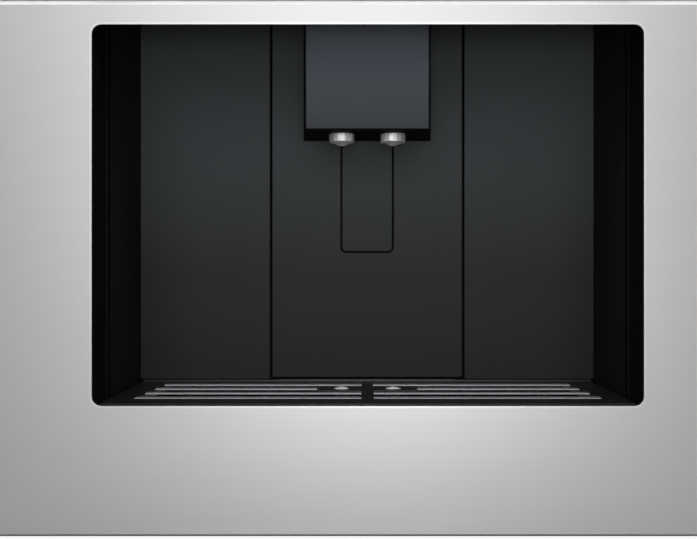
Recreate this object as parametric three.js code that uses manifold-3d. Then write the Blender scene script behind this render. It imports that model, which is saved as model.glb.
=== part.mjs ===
// A fully automatic coffee machine that is built into a 60 cm kitchen cabinet.
//
// Millimetres. X runs to the right, Y into the cabinet and Z up. The steel front faces -Y, and the
// origin lies under the middle of the machine, on the shelf that carries it. Places along Y are
// given as depths behind the steel front.

import * as THREE from 'three';
import { mergeVertices } from 'three/addons/utils/BufferGeometryUtils.js';
import Module from 'manifold-3d';

const wasm = await Module();
wasm.setup();

// ---- Driving dimensions ----------------------------------------------------------------------

const SKIN_Y = -182.5; // the steel front's outer face
const GAP = 0.3; // between neighbouring pieces
const PLAY = 0.8; // around pieces that are taken out by hand

const FRONT = { half: 295, bottom: 2, top: 457, sheet: 1.5, fold: 18, inset: 1.8 };
const DOOR = { top: 360.4, back: 42, panel: 2.5, wall: 3, topChamfer: 3.3, bottomChamfer: 1.2 };
const CUTOUT = { half: 185, bottom: 88.7, top: 344, corner: 6.4 };
const LINING = { half: 185.3, bottom: 82.5, top: 344.3, rise: 0.247 }; // its top slopes up to the back
const SEAL = { width: 5, back: 49.5 };
const FASCIA = { bottom: 363.7, back: 49.7 };

const CASE = { half: 278, bottom: 6, top: 449, back: 385, sheet: 1.2 };
const FRAME = { half: 279.5, front: 50, back: 52, top: 447.4, shoulder: 357.2 };
const FOOT = { radius: 14, inset: 40, sides: 20 };

const NICHE = { half: 185.3, wall: 2.5, back: 148, ceiling: 395, panel: 1.6, backFrame: 152.3 };
const PANEL = { seam: 78.5, seamGap: 2.2, sideBottom: 89.9, centreBottom: 91.7 };
const SLOT = { half: 21.9, bottom: 193.1, top: 388, corner: 5, seal: 1.3 };

const OUTLET = { half: 46.5, front: 82.4, bottom: 285.7, top: 446, wall: 2.5, travel: 80 };
const OUTLET_BASE = { half: 46.3, front: 82.6, bottom: 284.4, thick: 1 };
const OUTLET_PLATE = { half: 51.6, front: 143, back: 147, top: 440 };
const NECK = { half: 15, bottom: 300, top: 385 };
const RAIL = { x: 34, depth: 161, radius: 3, bottom: 195, top: 388 };
const SHUTTER = { half: 25, depth: [150, 151.2], bottom: 190.5, top: 443 };
const NOZZLE = { x: 19.7, depth: 102, radius: 9.75, tipRadius: 6, collar: 7, tip: 2.2, bore: 2.2 };

const TRAY = { half: 184, front: 50, back: 147, bottom: 12, top: 83, wall: 2.5 };
const COVER = { half: 182, front: 8, back: 146, bottom: 83.3, top: 88.7, lip: 1.8 };
const BAR = {
  rows: [123.1, 96.6, 70.1, 43.6], // depth of each bar's middle, back row first
  width: 9, thick: 1, inner: 4.5, outerBack: 160, outerFront: 165.5, brokenRow: 1, break: 38.2,
};
const FLOAT = { x: -160, depth: 110, radius: 9, stem: 2.5, top: 70 };
const GROUNDS = { half: 75, depth: [160, 262], z: [12, 84], wall: 2.5 };
const ISLAND = { half: 37.5, front: 84, back: 106, thick: 1.8 };
const DISH = { x: 19.7, depth: 96, radius: 7, rise: 1.3 };
const GRATE_ROD = { half: 1.5, z: [84.2, 86.6], x: [19.7, 75, 130] };

const HINGE = { x: -289, depth: 47, radius: 4.5, pin: 2.2, half: 25, doorHalf: 8.5, heights: [52, 312] };

const BAY = { inner: 193, outer: 263 }; // the containers on both sides of the niche
const TANK = { back: 190, bottom: 12, top: 262, wall: 2.5 };
const MILK = { back: 150, bottom: 12, top: 150, wall: 2.5 };
const BEANS = { back: 190, bottom: 250, top: 340, wall: 2.5, outlet: 15 };
const LID = { thick: 3, knob: 10 };

const GRINDER = { x: -228, depth: 140, radius: 33, bottom: 178, top: 249.7, burr: 20 };
const BREWER = { half: 55, front: 205, back: 295, bottom: 105, top: 320, wall: 4, chamber: 27, bore: 22.6 };
const HEATER = { x: [85, 165], depth: [200, 270], z: [230, 300], ports: [105, 145], portDepth: 235, portTop: 318 };
const PUMP = { x: 120, z: 60, radius: 24, depth: [250, 310], outletRadius: 8, outletEnd: 335, stand: 22 };
const FAN = { x: -90, z: 390, half: 40, front: 355, back: 380, hole: 36, blades: 7 };
const INLET = { x: [205, 245], z: [40, 68], front: 352, socket: [212, 238], socketZ: [46, 62] };
const KNOB = { x: 165, z: 412, radius: 22, reach: 20, shaft: 3 };
const BUTTON = { x: 255, z: 412, radius: 6, reach: 1.6, flange: 8 };
const DISPLAY = { half: 70, bottom: 392, top: 432 };

// ---- Finishes --------------------------------------------------------------------------------

const FINISHES = {
  brushedSteel: { color: 0xc2c5c4, roughness: 0.35, metalness: 0.9 },
  darkMetal: { color: 0x2b2e31, roughness: 0.45, metalness: 0.6 },
  blackPlastic: { color: 0x0b0b0c, roughness: 0.55, metalness: 0 },
  polishedSteel: { color: 0xd9dadb, roughness: 0.15, metalness: 1 },
  zincSheet: { color: 0x9da2a5, roughness: 0.5, metalness: 0.8 },
  clearPlastic: { color: 0xc9d3d8, roughness: 0.15, metalness: 0, transparent: true, opacity: 0.4 },
  whitePlastic: { color: 0xe2e2df, roughness: 0.5, metalness: 0 },
  rubber: { color: 0x111111, roughness: 0.9, metalness: 0 },
  glass: { color: 0x08090a, roughness: 0.05, metalness: 0 },
  board: { color: 0x1d4a2c, roughness: 0.6, metalness: 0.1 },
  redPlastic: { color: 0xa8201a, roughness: 0.45, metalness: 0 },
  castAluminium: { color: 0x8f9295, roughness: 0.6, metalness: 0.8 },
};

// ---- Shape helpers ---------------------------------------------------------------------------

const AXES = { x: [0, 0, -Math.PI / 2], y: [0, 0, 0], z: [Math.PI / 2, 0, 0] };
const ARC_STEPS = 3;

/** Y of a plane that lies d behind the steel front. */
const depth = (d) => SKIN_Y + d;

/** A range that lies evenly about the middle plane. */
const about = (half) => [-half, half];

/** A range with both ends moved in by the same amount. */
const inset = (range, by) => [range[0] + by, range[1] - by];

/** A closed mesh as a solid that can be cut and joined, with its faces turned outwards. */
function solid(geometry) {
  const loose = geometry.clone();
  loose.deleteAttribute('normal');
  loose.deleteAttribute('uv');
  const merged = mergeVertices(loose, 1e-3);
  const corners = merged.index.array;
  const kept = [];
  for (let i = 0; i < corners.length; i += 3) {
    const [a, b, c] = [corners[i], corners[i + 1], corners[i + 2]];
    if (a !== b && b !== c && c !== a) kept.push(a, b, c);
  }
  const vertProperties = Float32Array.from(merged.attributes.position.array);
  const mesh = new wasm.Mesh({ numProp: 3, vertProperties, triVerts: Uint32Array.from(kept) });
  return new wasm.Manifold(mesh);
}

/** The three.js geometry of a finished solid. */
function geometryOf(shape) {
  const { vertProperties, triVerts } = shape.getMesh();
  const geometry = new THREE.BufferGeometry();
  geometry.setAttribute('position', new THREE.BufferAttribute(vertProperties, 3));
  geometry.setIndex(new THREE.BufferAttribute(triVerts, 1));
  geometry.computeVertexNormals();
  return geometry;
}

/** A box from ranges along X, depth and Z. */
function block(x, d, z) {
  const geometry = new THREE.BoxGeometry(x[1] - x[0], d[1] - d[0], z[1] - z[0]);
  return solid(geometry.translate((x[0] + x[1]) / 2, depth((d[0] + d[1]) / 2), (z[0] + z[1]) / 2));
}

/** A round bar along an axis. Its place along that axis is the range; at holds the other two. */
function rod(axis, radius, range, at, sides = 24) {
  const middle = (range[0] + range[1]) / 2;
  const geometry = new THREE.CylinderGeometry(radius, radius, range[1] - range[0], sides);
  const [rx, ry, rz] = AXES[axis];
  geometry.rotateX(rx).rotateY(ry).rotateZ(rz);
  const place = { x: middle, d: middle, z: middle, ...at };
  return solid(geometry.translate(place.x, depth(place.d), place.z));
}

/** A turned piece. The profile holds [radius, height] pairs from bottom to top. */
function turned(profile, axis, at, sides = 24) {
  const points = profile.map(([r, h]) => new THREE.Vector2(r, h));
  const geometry = new THREE.LatheGeometry(points, sides);
  const [rx, ry, rz] = AXES[axis];
  geometry.rotateX(rx).rotateY(ry).rotateZ(rz);
  return solid(geometry.translate(at.x, depth(at.d), at.z));
}

/** Draws a rectangle with round corners into a shape or a hole, across X and Z. */
function roundRect(path, x, z, r) {
  const quarter = Math.PI / 2;
  path.moveTo(x[0] + r, z[0]);
  path.absarc(x[1] - r, z[0] + r, r, -quarter, 0);
  path.absarc(x[1] - r, z[1] - r, r, 0, quarter);
  path.absarc(x[0] + r, z[1] - r, r, quarter, 2 * quarter);
  path.absarc(x[0] + r, z[0] + r, r, 2 * quarter, 3 * quarter);
  path.closePath();
  return path;
}

/** Draws a plain rectangle into a shape or a hole. */
function rect(path, x, z) {
  path.moveTo(x[0], z[0]);
  path.lineTo(x[1], z[0]);
  path.lineTo(x[1], z[1]);
  path.lineTo(x[0], z[1]);
  path.closePath();
  return path;
}

/** A closed outline through the given points. */
function outlineOf(points) {
  return new THREE.Shape(points.map(([u, v]) => new THREE.Vector2(u, v)));
}

/** Extrudes an outline upwards from its own plane. */
function extrude(outline, height) {
  const points = outline.getPoints(ARC_STEPS);
  if (points[0].distanceTo(points.at(-1)) < 1e-6) points.pop();
  const options = { depth: height, bevelEnabled: false };
  return new THREE.ExtrudeGeometry(new THREE.Shape(points), options);
}

/** A plate with holes, from a function that makes the slab of one outline between two planes. */
function pierced(slab, outline, holes, range) {
  const drill = inset(range, -1);
  return holes.reduce((plate, hole) => plate.subtract(slab(hole, drill)), slab(outline, range));
}

/** An upright plate: an outline across X and Z with holes, between two depths. */
function uprightPlate(outline, holes, d) {
  const slab = (path, [front, back]) => {
    return solid(extrude(path, back - front).rotateX(Math.PI / 2).translate(0, depth(back), 0));
  };
  return pierced(slab, outline, holes, d);
}

/** A level plate: an outline across X and depth with holes, between two heights. */
function levelPlate(outline, holes, z) {
  const slab = (path, [low, high]) => solid(extrude(path, high - low).translate(0, SKIN_Y, low));
  return pierced(slab, outline, holes, z);
}

/** A plate across depth and Z with holes, between two places along X. */
function sidePlate(outline, holes, x) {
  const slab = (path, [low, high]) => {
    const geometry = extrude(path, high - low).rotateX(Math.PI / 2).rotateZ(Math.PI / 2);
    return solid(geometry.translate(low, SKIN_Y, 0));
  };
  return pierced(slab, outline, holes, x);
}

/** An open-topped container with the same wall all round and below. */
function tub(x, d, z, wall) {
  return block(x, d, z).subtract(block(inset(x, wall), inset(d, wall), [z[0] + wall, z[1] + 1]));
}

/** A row of level vent slots, as holes for a plate. */
function slotRow(x, z, count, pitch, height) {
  const holes = [];
  for (let i = 0; i < count; i += 1) {
    const low = z + i * pitch;
    holes.push(rect(new THREE.Path(), x, [low, low + height]));
  }
  return holes;
}

const machine = new THREE.Group();

/** Adds a finished piece to the machine. */
function add(name, finish, shape) {
  const mesh = new THREE.Mesh(geometryOf(shape), new THREE.MeshStandardMaterial(FINISHES[finish]));
  mesh.name = name;
  machine.add(mesh);
}

// ---- Case ------------------------------------------------------------------------------------

const INSIDE = [FRAME.back + GAP, CASE.back - CASE.sheet - GAP];

function addCase() {
  const floor = [CASE.bottom, CASE.bottom + 2];
  let pan = block(about(CASE.half), [FRAME.back + GAP, CASE.back], floor);
  for (const x of about(CASE.half - FOOT.inset)) {
    for (const d of inset(INSIDE, FOOT.inset)) {
      pan = pan.add(rod('z', FOOT.radius, [0, CASE.bottom + 0.5], { x, d }, FOOT.sides));
    }
  }
  add('base_pan', 'zincSheet', pan);

  const wallHeight = [floor[1] + GAP, CASE.top - CASE.sheet - GAP];
  for (const [side, sign] of [['left', -1], ['right', 1]]) {
    const outside = sign * CASE.half;
    const x = [Math.min(outside, outside - sign * CASE.sheet), Math.max(outside, outside - sign * CASE.sheet)];
    const vents = slotRow([250, 320], 300, 5, 16, 6);
    add(`${side}_side_panel`, 'zincSheet', sidePlate(rect(new THREE.Shape(), INSIDE, wallHeight), vents, x));
  }

  const topVents = slotRow([-110, -30], 300, 4, 14, 6).concat(slotRow([30, 110], 300, 4, 14, 6));
  const topOutline = rect(new THREE.Shape(), about(CASE.half), [FRAME.back + GAP, CASE.back]);
  add('top_panel', 'zincSheet', levelPlate(topOutline, topVents, [CASE.top - CASE.sheet, CASE.top]));

  const grille = slotRow([FAN.x - 30, FAN.x + 30], FAN.z - 32, 6, 12, 6);
  const inletHole = rect(new THREE.Path(), [INLET.x[0] - GAP, INLET.x[1] + GAP], [INLET.z[0] - GAP, INLET.z[1] + GAP]);
  const rearOutline = rect(new THREE.Shape(), about(CASE.half - CASE.sheet - GAP), wallHeight);
  add('rear_panel', 'zincSheet', uprightPlate(rearOutline, [...grille, inletHole], [CASE.back - CASE.sheet, CASE.back]));
  add('power_inlet', 'blackPlastic', powerInlet());
}

/** The socket for the removable mains lead, with its three pins. */
function powerInlet() {
  const pins = [-7, 0, 7].map((dx) => {
    const x = (INLET.x[0] + INLET.x[1]) / 2 + dx;
    return block([x - 1, x + 1], [365, 381], [51, 57]);
  });
  return block(INLET.x, [INLET.front, CASE.back], INLET.z)
    .subtract(block(INLET.socket, [366, CASE.back + 1], INLET.socketZ))
    .add(pins[0]).add(pins[1]).add(pins[2]);
}

function addFrontFrame() {
  const bayLeft = (z) => rect(new THREE.Path(), [-BAY.outer - 2, -BAY.inner + 2], z);
  const bayRight = rect(new THREE.Path(), [BAY.inner - 2, BAY.outer + 2], [TANK.bottom - 2, TANK.top + 10]);
  const niche = roundRect(new THREE.Path(), about(LINING.half), [TRAY.bottom - 1, FRAME.shoulder], 3);
  const holes = [
    niche,
    bayRight,
    bayLeft([MILK.bottom - 2, MILK.top + 12]),
    bayLeft([BEANS.bottom - 2, BEANS.top + 10]),
  ];
  const outline = rect(new THREE.Shape(), about(FRAME.half), [CASE.bottom, FRAME.top]);
  add('front_frame', 'blackPlastic', uprightPlate(outline, holes, [FRAME.front, FRAME.back]));
}

// ---- Niche -----------------------------------------------------------------------------------

function addNiche() {
  const wallHeight = [CASE.bottom + 2 + GAP, NICHE.ceiling - GAP];
  const side = [FRAME.back + GAP, NICHE.backFrame - GAP];
  const outer = NICHE.half + NICHE.wall;
  add('niche_left_wall', 'blackPlastic', block([-outer, -NICHE.half], side, wallHeight));
  add('niche_right_wall', 'blackPlastic', block([NICHE.half, outer], side, wallHeight));

  const well = rect(new THREE.Path(), about(OUTLET_PLATE.half + 1.4), [OUTLET.front - 27, NICHE.backFrame + 1]);
  const ceilingOutline = rect(new THREE.Shape(), about(outer), side);
  const ceilingHeight = [NICHE.ceiling, NICHE.ceiling + NICHE.wall];
  add('niche_ceiling', 'blackPlastic', levelPlate(ceilingOutline, [well], ceilingHeight));

  const backFrame = [NICHE.backFrame, NICHE.backFrame + NICHE.wall];
  const slit = rect(new THREE.Path(), about(NECK.half + 2.5), [NECK.bottom - OUTLET.travel - 8, NECK.top + 3]);
  const frameOutline = rect(new THREE.Shape(), about(outer), [COVER.top + GAP, NICHE.ceiling + NICHE.wall]);
  let carrier = uprightPlate(frameOutline, [slit], backFrame);
  for (const x of about(RAIL.x)) {
    for (const z of [[RAIL.bottom - 8, RAIL.bottom - GAP], [RAIL.top + GAP, RAIL.top + 8]]) {
      carrier = carrier.add(block([x - 5, x + 5], [NICHE.backFrame + 1, RAIL.depth + 5], z));
    }
  }
  add('niche_back_frame', 'blackPlastic', carrier);
  for (const [name, x] of [['outlet_rail_left', -RAIL.x], ['outlet_rail_right', RAIL.x]]) {
    add(name, 'polishedSteel', rod('z', RAIL.radius, [RAIL.bottom, RAIL.top], { x, d: RAIL.depth }, 16));
  }
  addBackPanels();
}

function addBackPanels() {
  const thick = [NICHE.back, NICHE.back + NICHE.panel];
  const top = NICHE.ceiling - GAP;
  const seam = PANEL.seamGap / 2;
  const sideX = [PANEL.seam + seam, NICHE.half - GAP];
  add('left_back_panel', 'darkMetal', block([-sideX[1], -sideX[0]], thick, [PANEL.sideBottom, top]));
  add('right_back_panel', 'darkMetal', block(sideX, thick, [PANEL.sideBottom, top]));

  const slot = roundRect(new THREE.Path(), about(SLOT.half), [SLOT.bottom, SLOT.top], SLOT.corner);
  const centre = rect(new THREE.Shape(), about(PANEL.seam - seam), [PANEL.centreBottom, top]);
  add('centre_back_panel', 'darkMetal', uprightPlate(centre, [slot], thick));

  const lip = SLOT.half - GAP;
  const lipZ = [SLOT.bottom + GAP, SLOT.top - GAP];
  const lipOutline = roundRect(new THREE.Shape(), about(lip), lipZ, SLOT.corner - GAP);
  const lipHole = roundRect(new THREE.Path(), about(lip - SLOT.seal), inset(lipZ, SLOT.seal), SLOT.corner - GAP - SLOT.seal);
  add('slot_seal', 'rubber', uprightPlate(lipOutline, [lipHole], [NICHE.back + 0.2, NICHE.back + NICHE.panel - 0.2]));
}

// ---- Outlet ----------------------------------------------------------------------------------

function addOutlet() {
  const base = OUTLET_BASE;
  const baseTop = base.bottom + base.thick;
  let carriage = block(about(base.half), [base.front, NICHE.back - 0.8], [base.bottom, baseTop])
    .add(block(about(30), [92, 142], [baseTop - 0.5, 330]))
    .add(block(about(OUTLET_PLATE.half), [OUTLET_PLATE.front, OUTLET_PLATE.back], [base.bottom, OUTLET_PLATE.top]))
    .add(block(about(30), [141, 144], [baseTop - 0.5, 330]))
    .add(block(about(NECK.half), [NICHE.back - 2, RAIL.depth], [NECK.bottom, NECK.top]))
    .add(block(about(RAIL.x + 7), [NICHE.backFrame + NICHE.wall + 0.7, RAIL.depth + 6], [NECK.bottom, NECK.top]));
  for (const x of about(RAIL.x)) {
    const guide = rod('z', RAIL.radius + GAP, [NECK.bottom - 1, NECK.top + 1], { x, d: RAIL.depth }, 16);
    carriage = carriage.subtract(guide);
  }
  add('outlet_carriage', 'blackPlastic', carriage);

  const shutterOutline = rect(new THREE.Shape(), about(SHUTTER.half), [SHUTTER.bottom, SHUTTER.top]);
  const neckHole = rect(new THREE.Path(), about(NECK.half + GAP), [NECK.bottom - GAP, NECK.top + GAP]);
  add('outlet_shutter', 'darkMetal', uprightPlate(shutterOutline, [neckHole], SHUTTER.depth));

  const coverBack = NICHE.back - 5.5;
  const coverZ = [OUTLET.bottom, OUTLET.top];
  const hollow = block(about(OUTLET.half - OUTLET.wall), [OUTLET.front + OUTLET.wall, coverBack + 1],
    [OUTLET.bottom - 1, OUTLET.top - OUTLET.wall]);
  add('outlet_cover', 'darkMetal', block(about(OUTLET.half), [OUTLET.front, coverBack], coverZ).subtract(hollow));

  add('nozzle_left', 'polishedSteel', nozzle(-NOZZLE.x));
  add('nozzle_right', 'polishedSteel', nozzle(NOZZLE.x));
}

/** A coffee nozzle: a collar under the base plate with a short cone and a bore. */
function nozzle(x) {
  const top = OUTLET_BASE.bottom - GAP;
  const shoulder = top - NOZZLE.collar;
  const profile = [
    [NOZZLE.bore, shoulder - NOZZLE.tip], [NOZZLE.tipRadius, shoulder - NOZZLE.tip],
    [NOZZLE.radius - 1, shoulder], [NOZZLE.radius, shoulder + 1.2], [NOZZLE.radius, top],
    [0, top], [0, top - 2], [NOZZLE.bore, top - 2], [NOZZLE.bore, shoulder - NOZZLE.tip],
  ];
  return turned(profile, 'z', { x, d: NOZZLE.depth, z: 0 }, 20);
}

// ---- Drip tray -------------------------------------------------------------------------------

function addDripTray() {
  const tray = { d: [TRAY.front, TRAY.back], z: [TRAY.bottom, TRAY.top] };
  add('drip_tray', 'blackPlastic', tub(about(TRAY.half), tray.d, tray.z, TRAY.wall));

  const floor = TRAY.bottom + TRAY.wall;
  const { radius, stem, top } = FLOAT;
  const float = turned([[0, floor], [radius, floor], [radius, floor + 14], [stem, floor + 16], [stem, top], [0, top]],
    'z', { x: FLOAT.x, d: FLOAT.depth, z: 0 }, 16);
  add('tray_float', 'redPlastic', float.translate([0, 0, GAP]));

  add('drip_plate', 'blackPlastic', dripPlate());
  add('drip_grate', 'polishedSteel', dripGrate());
  add('grounds_container', 'blackPlastic', tub(about(GROUNDS.half), GROUNDS.depth, GROUNDS.z, GROUNDS.wall));
}

/** Where a bar of the given depth ends on its outer side. */
function barEnd(d) {
  const [back, front] = [BAR.rows[0], BAR.rows.at(-1)];
  return BAR.outerBack + (BAR.outerFront - BAR.outerBack) * (back - d) / (back - front);
}

/** The black cover of the drip tray, with an opening for the bars on each side of its web. */
function dripPlate() {
  const margin = BAR.width / 2 + GAP;
  const [back, front] = [BAR.rows[0] + margin, BAR.rows.at(-1) - margin];
  const ledge = COVER.top - BAR.thick - GAP;
  let plate = block(about(COVER.half), [COVER.front, COVER.back], [COVER.bottom, COVER.top])
    .add(block(about(71.3), [COVER.back - 3, COVER.back], [COVER.top - 1, COVER.top + COVER.lip]));
  for (const side of [-1, 1]) {
    const window = new THREE.Shape();
    window.moveTo(side * (BAR.inner - GAP), front);
    window.lineTo(side * (barEnd(front) + PLAY), front);
    window.lineTo(side * (barEnd(back) + PLAY), back);
    window.lineTo(side * (BAR.inner - GAP), back);
    window.closePath();
    plate = plate.subtract(levelPlate(window, [], [ledge, COVER.top + 1]));
  }
  const well = block(about(BAR.outerBack - 6), [front + 3, back - 3], [COVER.bottom - 1, ledge + 1]);
  const web = block(about(BAR.inner - GAP), [front - 1, back + 1], [COVER.top - ISLAND.thick, COVER.top]);
  const island = block(about(ISLAND.half), [ISLAND.front, ISLAND.back], [COVER.top - ISLAND.thick, COVER.top]);
  plate = plate.subtract(well).add(web).add(island);
  for (const x of about(DISH.x)) {
    plate = plate.subtract(rod('z', DISH.radius + 0.5, [80, 100], { x, d: DISH.depth }, 24));
  }
  return plate;
}

/** The steel bars, the rods under them on short posts, and two round drain dishes. */
function dripGrate() {
  const top = COVER.top;
  const barZ = [top - BAR.thick, top];
  const rodZ = GRATE_ROD.z;
  const postZ = [rodZ[1] - 0.2, barZ[0] + 0.2];
  let grate = block(about(GRATE_ROD.x[0]), [BAR.rows[2] - 2, BAR.rows[2] + 2], rodZ);
  for (const side of [-1, 1]) {
    BAR.rows.forEach((d, row) => {
      const start = row === BAR.brokenRow ? BAR.break : BAR.inner;
      const x = [side * start, side * barEnd(d)].sort((a, b) => a - b);
      grate = grate.add(block(x, [d - BAR.width / 2, d + BAR.width / 2], barZ));
    });
    for (const rodX of GRATE_ROD.x) {
      const x = inset([side * rodX, side * rodX], -GRATE_ROD.half);
      grate = grate.add(block(x, inset([BAR.rows.at(-1), BAR.rows[0]], -GRATE_ROD.half), rodZ));
      BAR.rows.forEach((d, row) => {
        if (row !== BAR.brokenRow || rodX > BAR.break) grate = grate.add(block(x, inset([d, d], -GRATE_ROD.half), postZ));
      });
    }
    const dish = turned([[0, rodZ[0]], [DISH.radius, rodZ[0]], [DISH.radius, top], [4, top + DISH.rise], [0, top + DISH.rise]],
      'z', { x: side * DISH.x, d: DISH.depth, z: 0 }, 24);
    grate = grate.add(dish);
  }
  return grate;
}

// ---- Containers behind the door --------------------------------------------------------------

function addContainers() {
  const front = FRAME.front - 0.2;
  const right = [BAY.inner, BAY.outer];
  const left = [-BAY.outer, -BAY.inner];
  add('water_tank', 'clearPlastic', tub(right, [front, TANK.back], [TANK.bottom, TANK.top], TANK.wall));
  add('water_tank_lid', 'blackPlastic', lid(right, TANK));
  add('milk_container', 'clearPlastic', tub(left, [front, MILK.back], [MILK.bottom, MILK.top], MILK.wall));
  add('milk_container_lid', 'blackPlastic', lid(left, MILK));

  const mouth = rod('z', BEANS.outlet, [BEANS.bottom - 1, BEANS.bottom + BEANS.wall + 1],
    { x: GRINDER.x, d: GRINDER.depth });
  const beans = tub(left, [front, BEANS.back], [BEANS.bottom, BEANS.top], BEANS.wall).subtract(mouth);
  add('bean_container', 'clearPlastic', beans);
  add('bean_container_lid', 'blackPlastic', lid(left, BEANS));
}

/** A flat lid that lies on a container, with a round knob to lift it by. */
function lid(x, container) {
  const d = [FRAME.back + PLAY, container.back];
  const low = container.top + GAP;
  const at = { x: (x[0] + x[1]) / 2, d: (d[0] + d[1]) / 2 };
  return block(x, d, [low, low + LID.thick]).add(rod('z', LID.knob, [low + 1, low + LID.thick + 5], at, 20));
}

// ---- Works behind the niche ------------------------------------------------------------------

function addWorks() {
  const mill = { x: GRINDER.x, d: GRINDER.depth };
  const funnel = turned([[0, 198], [22, 198], [22, 222], [29, GRINDER.top + 1], [0, GRINDER.top + 1]],
    'z', { ...mill, z: 0 });
  const housing = rod('z', GRINDER.radius, [GRINDER.bottom, GRINDER.top], mill, 28)
    .add(block([-255, -201], [165, 185], [GRINDER.bottom, 195]))
    .add(block([-276, -255], [130, 150], [GRINDER.bottom, GRINDER.bottom + 20]))
    .subtract(funnel);
  add('grinder_housing', 'castAluminium', housing);
  const burr = turned([[0, 199], [GRINDER.burr, 199], [GRINDER.burr - 8, 222], [4, 230], [0, 230]],
    'z', { ...mill, z: 0 }, 18);
  add('grinder_burr', 'polishedSteel', burr);

  const b = BREWER;
  const inner = block(about(b.half - b.wall), [b.front - 1, b.back + 1], [b.bottom + b.wall, b.top - b.wall]);
  const middle = { x: 0, d: (b.front + b.back) / 2 };
  const brewFrame = block(about(b.half), [b.front, b.back], [b.bottom, b.top]).subtract(inner)
    .add(rod('z', b.chamber, [b.bottom + 1, 190], middle, 28))
    .subtract(rod('z', b.bore, [125, 200], middle, 28))
    .subtract(rod('z', 9, [b.top - b.wall - 1, b.top + 1], middle, 20));
  add('brew_frame', 'blackPlastic', brewFrame);
  const piston = rod('z', b.bore - 0.6, [232, 248], middle, 28).add(rod('z', 8, [247, 372], middle, 20));
  add('brew_piston', 'whitePlastic', piston);

  const heater = HEATER.ports.reduce((body, x) => {
    return body.add(rod('z', 6, [HEATER.z[1] - 1, HEATER.portTop], { x, d: HEATER.portDepth }, 14));
  }, block(HEATER.x, HEATER.depth, HEATER.z));
  add('thermoblock', 'castAluminium', heater);

  const { x, z } = PUMP;
  const pump = rod('y', PUMP.radius, PUMP.depth, { x, z }, 24)
    .add(rod('y', PUMP.outletRadius, [PUMP.depth[1] - 5, PUMP.outletEnd], { x, z }, 16))
    .add(block([x - PUMP.stand, x + PUMP.stand], inset(PUMP.depth, 12), [CASE.bottom + 2 + GAP, z - 15]));
  add('pump', 'zincSheet', pump);
  addFan();
}

function addFan() {
  const housing = block([FAN.x - FAN.half, FAN.x + FAN.half], [FAN.front, FAN.back], [FAN.z - FAN.half, FAN.z + FAN.half])
    .subtract(rod('y', FAN.hole, [FAN.front - 1, FAN.back + 1], { x: FAN.x, z: FAN.z }, 32))
    .add(block([FAN.x - FAN.hole - 1, FAN.x + FAN.hole + 1], [FAN.back - 3, FAN.back], [FAN.z - 4, FAN.z + 4]));
  add('fan_housing', 'blackPlastic', housing);

  let rotor = rod('y', 12, [FAN.front + 3, FAN.back - 5], { x: FAN.x, z: FAN.z }, 20);
  for (let i = 0; i < FAN.blades; i += 1) {
    const blade = new THREE.BoxGeometry(24, 1.6, 12);
    blade.rotateX(Math.PI / 5).translate(21, 0, 0).rotateY(i * 2 * Math.PI / FAN.blades);
    blade.translate(FAN.x, depth((FAN.front + FAN.back) / 2), FAN.z);
    rotor = rotor.add(solid(blade));
  }
  add('fan_rotor', 'blackPlastic', rotor);
}

// ---- Controls above the door -----------------------------------------------------------------

function addControls() {
  const z = [FASCIA.bottom, FRONT.top];
  const cut = (grow) => [
    rect(new THREE.Path(), about(DISPLAY.half + grow), [DISPLAY.bottom - grow, DISPLAY.top + grow]),
    circle(-KNOB.x, KNOB.z, KNOB.shaft + 1), circle(KNOB.x, KNOB.z, KNOB.shaft + 1),
    circle(BUTTON.x, BUTTON.z, BUTTON.radius + 0.4),
  ];
  add('control_fascia', 'brushedSteel', steelShell(z, 0, 0, cut(0)));

  const carrierX = about(FRONT.half - FRONT.inset);
  const carrierZ = inset(z, FRONT.inset);
  const web = uprightPlate(rect(new THREE.Shape(), carrierX, carrierZ), cut(GAP), [FRONT.inset, 4.3]);
  const rim = block(carrierX, [4, FASCIA.back], carrierZ)
    .subtract(block(inset(carrierX, 3), [3, FASCIA.back + 1], inset(carrierZ, 3)));
  add('fascia_carrier', 'blackPlastic', web.add(rim));

  const glassX = about(DISPLAY.half - GAP);
  add('display_glass', 'glass', block(glassX, [0.1, 3.5], [DISPLAY.bottom + GAP, DISPLAY.top - GAP]));
  let board = block(about(185), [30, 31.6], [378, 440]);
  for (const x of about(KNOB.x)) board = board.add(rod('y', 9, [22, 31], { x, z: KNOB.z }, 20));
  add('control_board', 'board', board);
  add('knob_left', 'polishedSteel', knob(-KNOB.x));
  add('knob_right', 'polishedSteel', knob(KNOB.x));

  const at = { x: BUTTON.x, z: BUTTON.z };
  const button = rod('y', BUTTON.radius, [-BUTTON.reach, 6], at, 24).add(rod('y', BUTTON.flange, [4.6, 6.4], at, 24));
  add('power_button', 'polishedSteel', button);
}

/** A round hole as a path of short straight edges. */
function circle(x, z, radius) {
  return new THREE.Path(new THREE.EllipseCurve(x, z, radius, radius).getPoints(24));
}

/** A rotary knob with a fluted grip and its shaft. */
function knob(x) {
  const at = { x, z: KNOB.z };
  let grip = rod('y', KNOB.radius, [-KNOB.reach, -0.8], at, 36);
  const flutes = 18;
  for (let i = 0; i < flutes; i += 1) {
    const angle = i * 2 * Math.PI / flutes;
    const groove = { x: x + (KNOB.radius + 1) * Math.cos(angle), z: KNOB.z + (KNOB.radius + 1) * Math.sin(angle) };
    grip = grip.subtract(rod('y', 1.6, [-KNOB.reach + 3, 0], groove, 8));
  }
  return grip.add(rod('y', KNOB.shaft, [-2, 20], at, 16));
}

// ---- Door ------------------------------------------------------------------------------------

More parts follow.
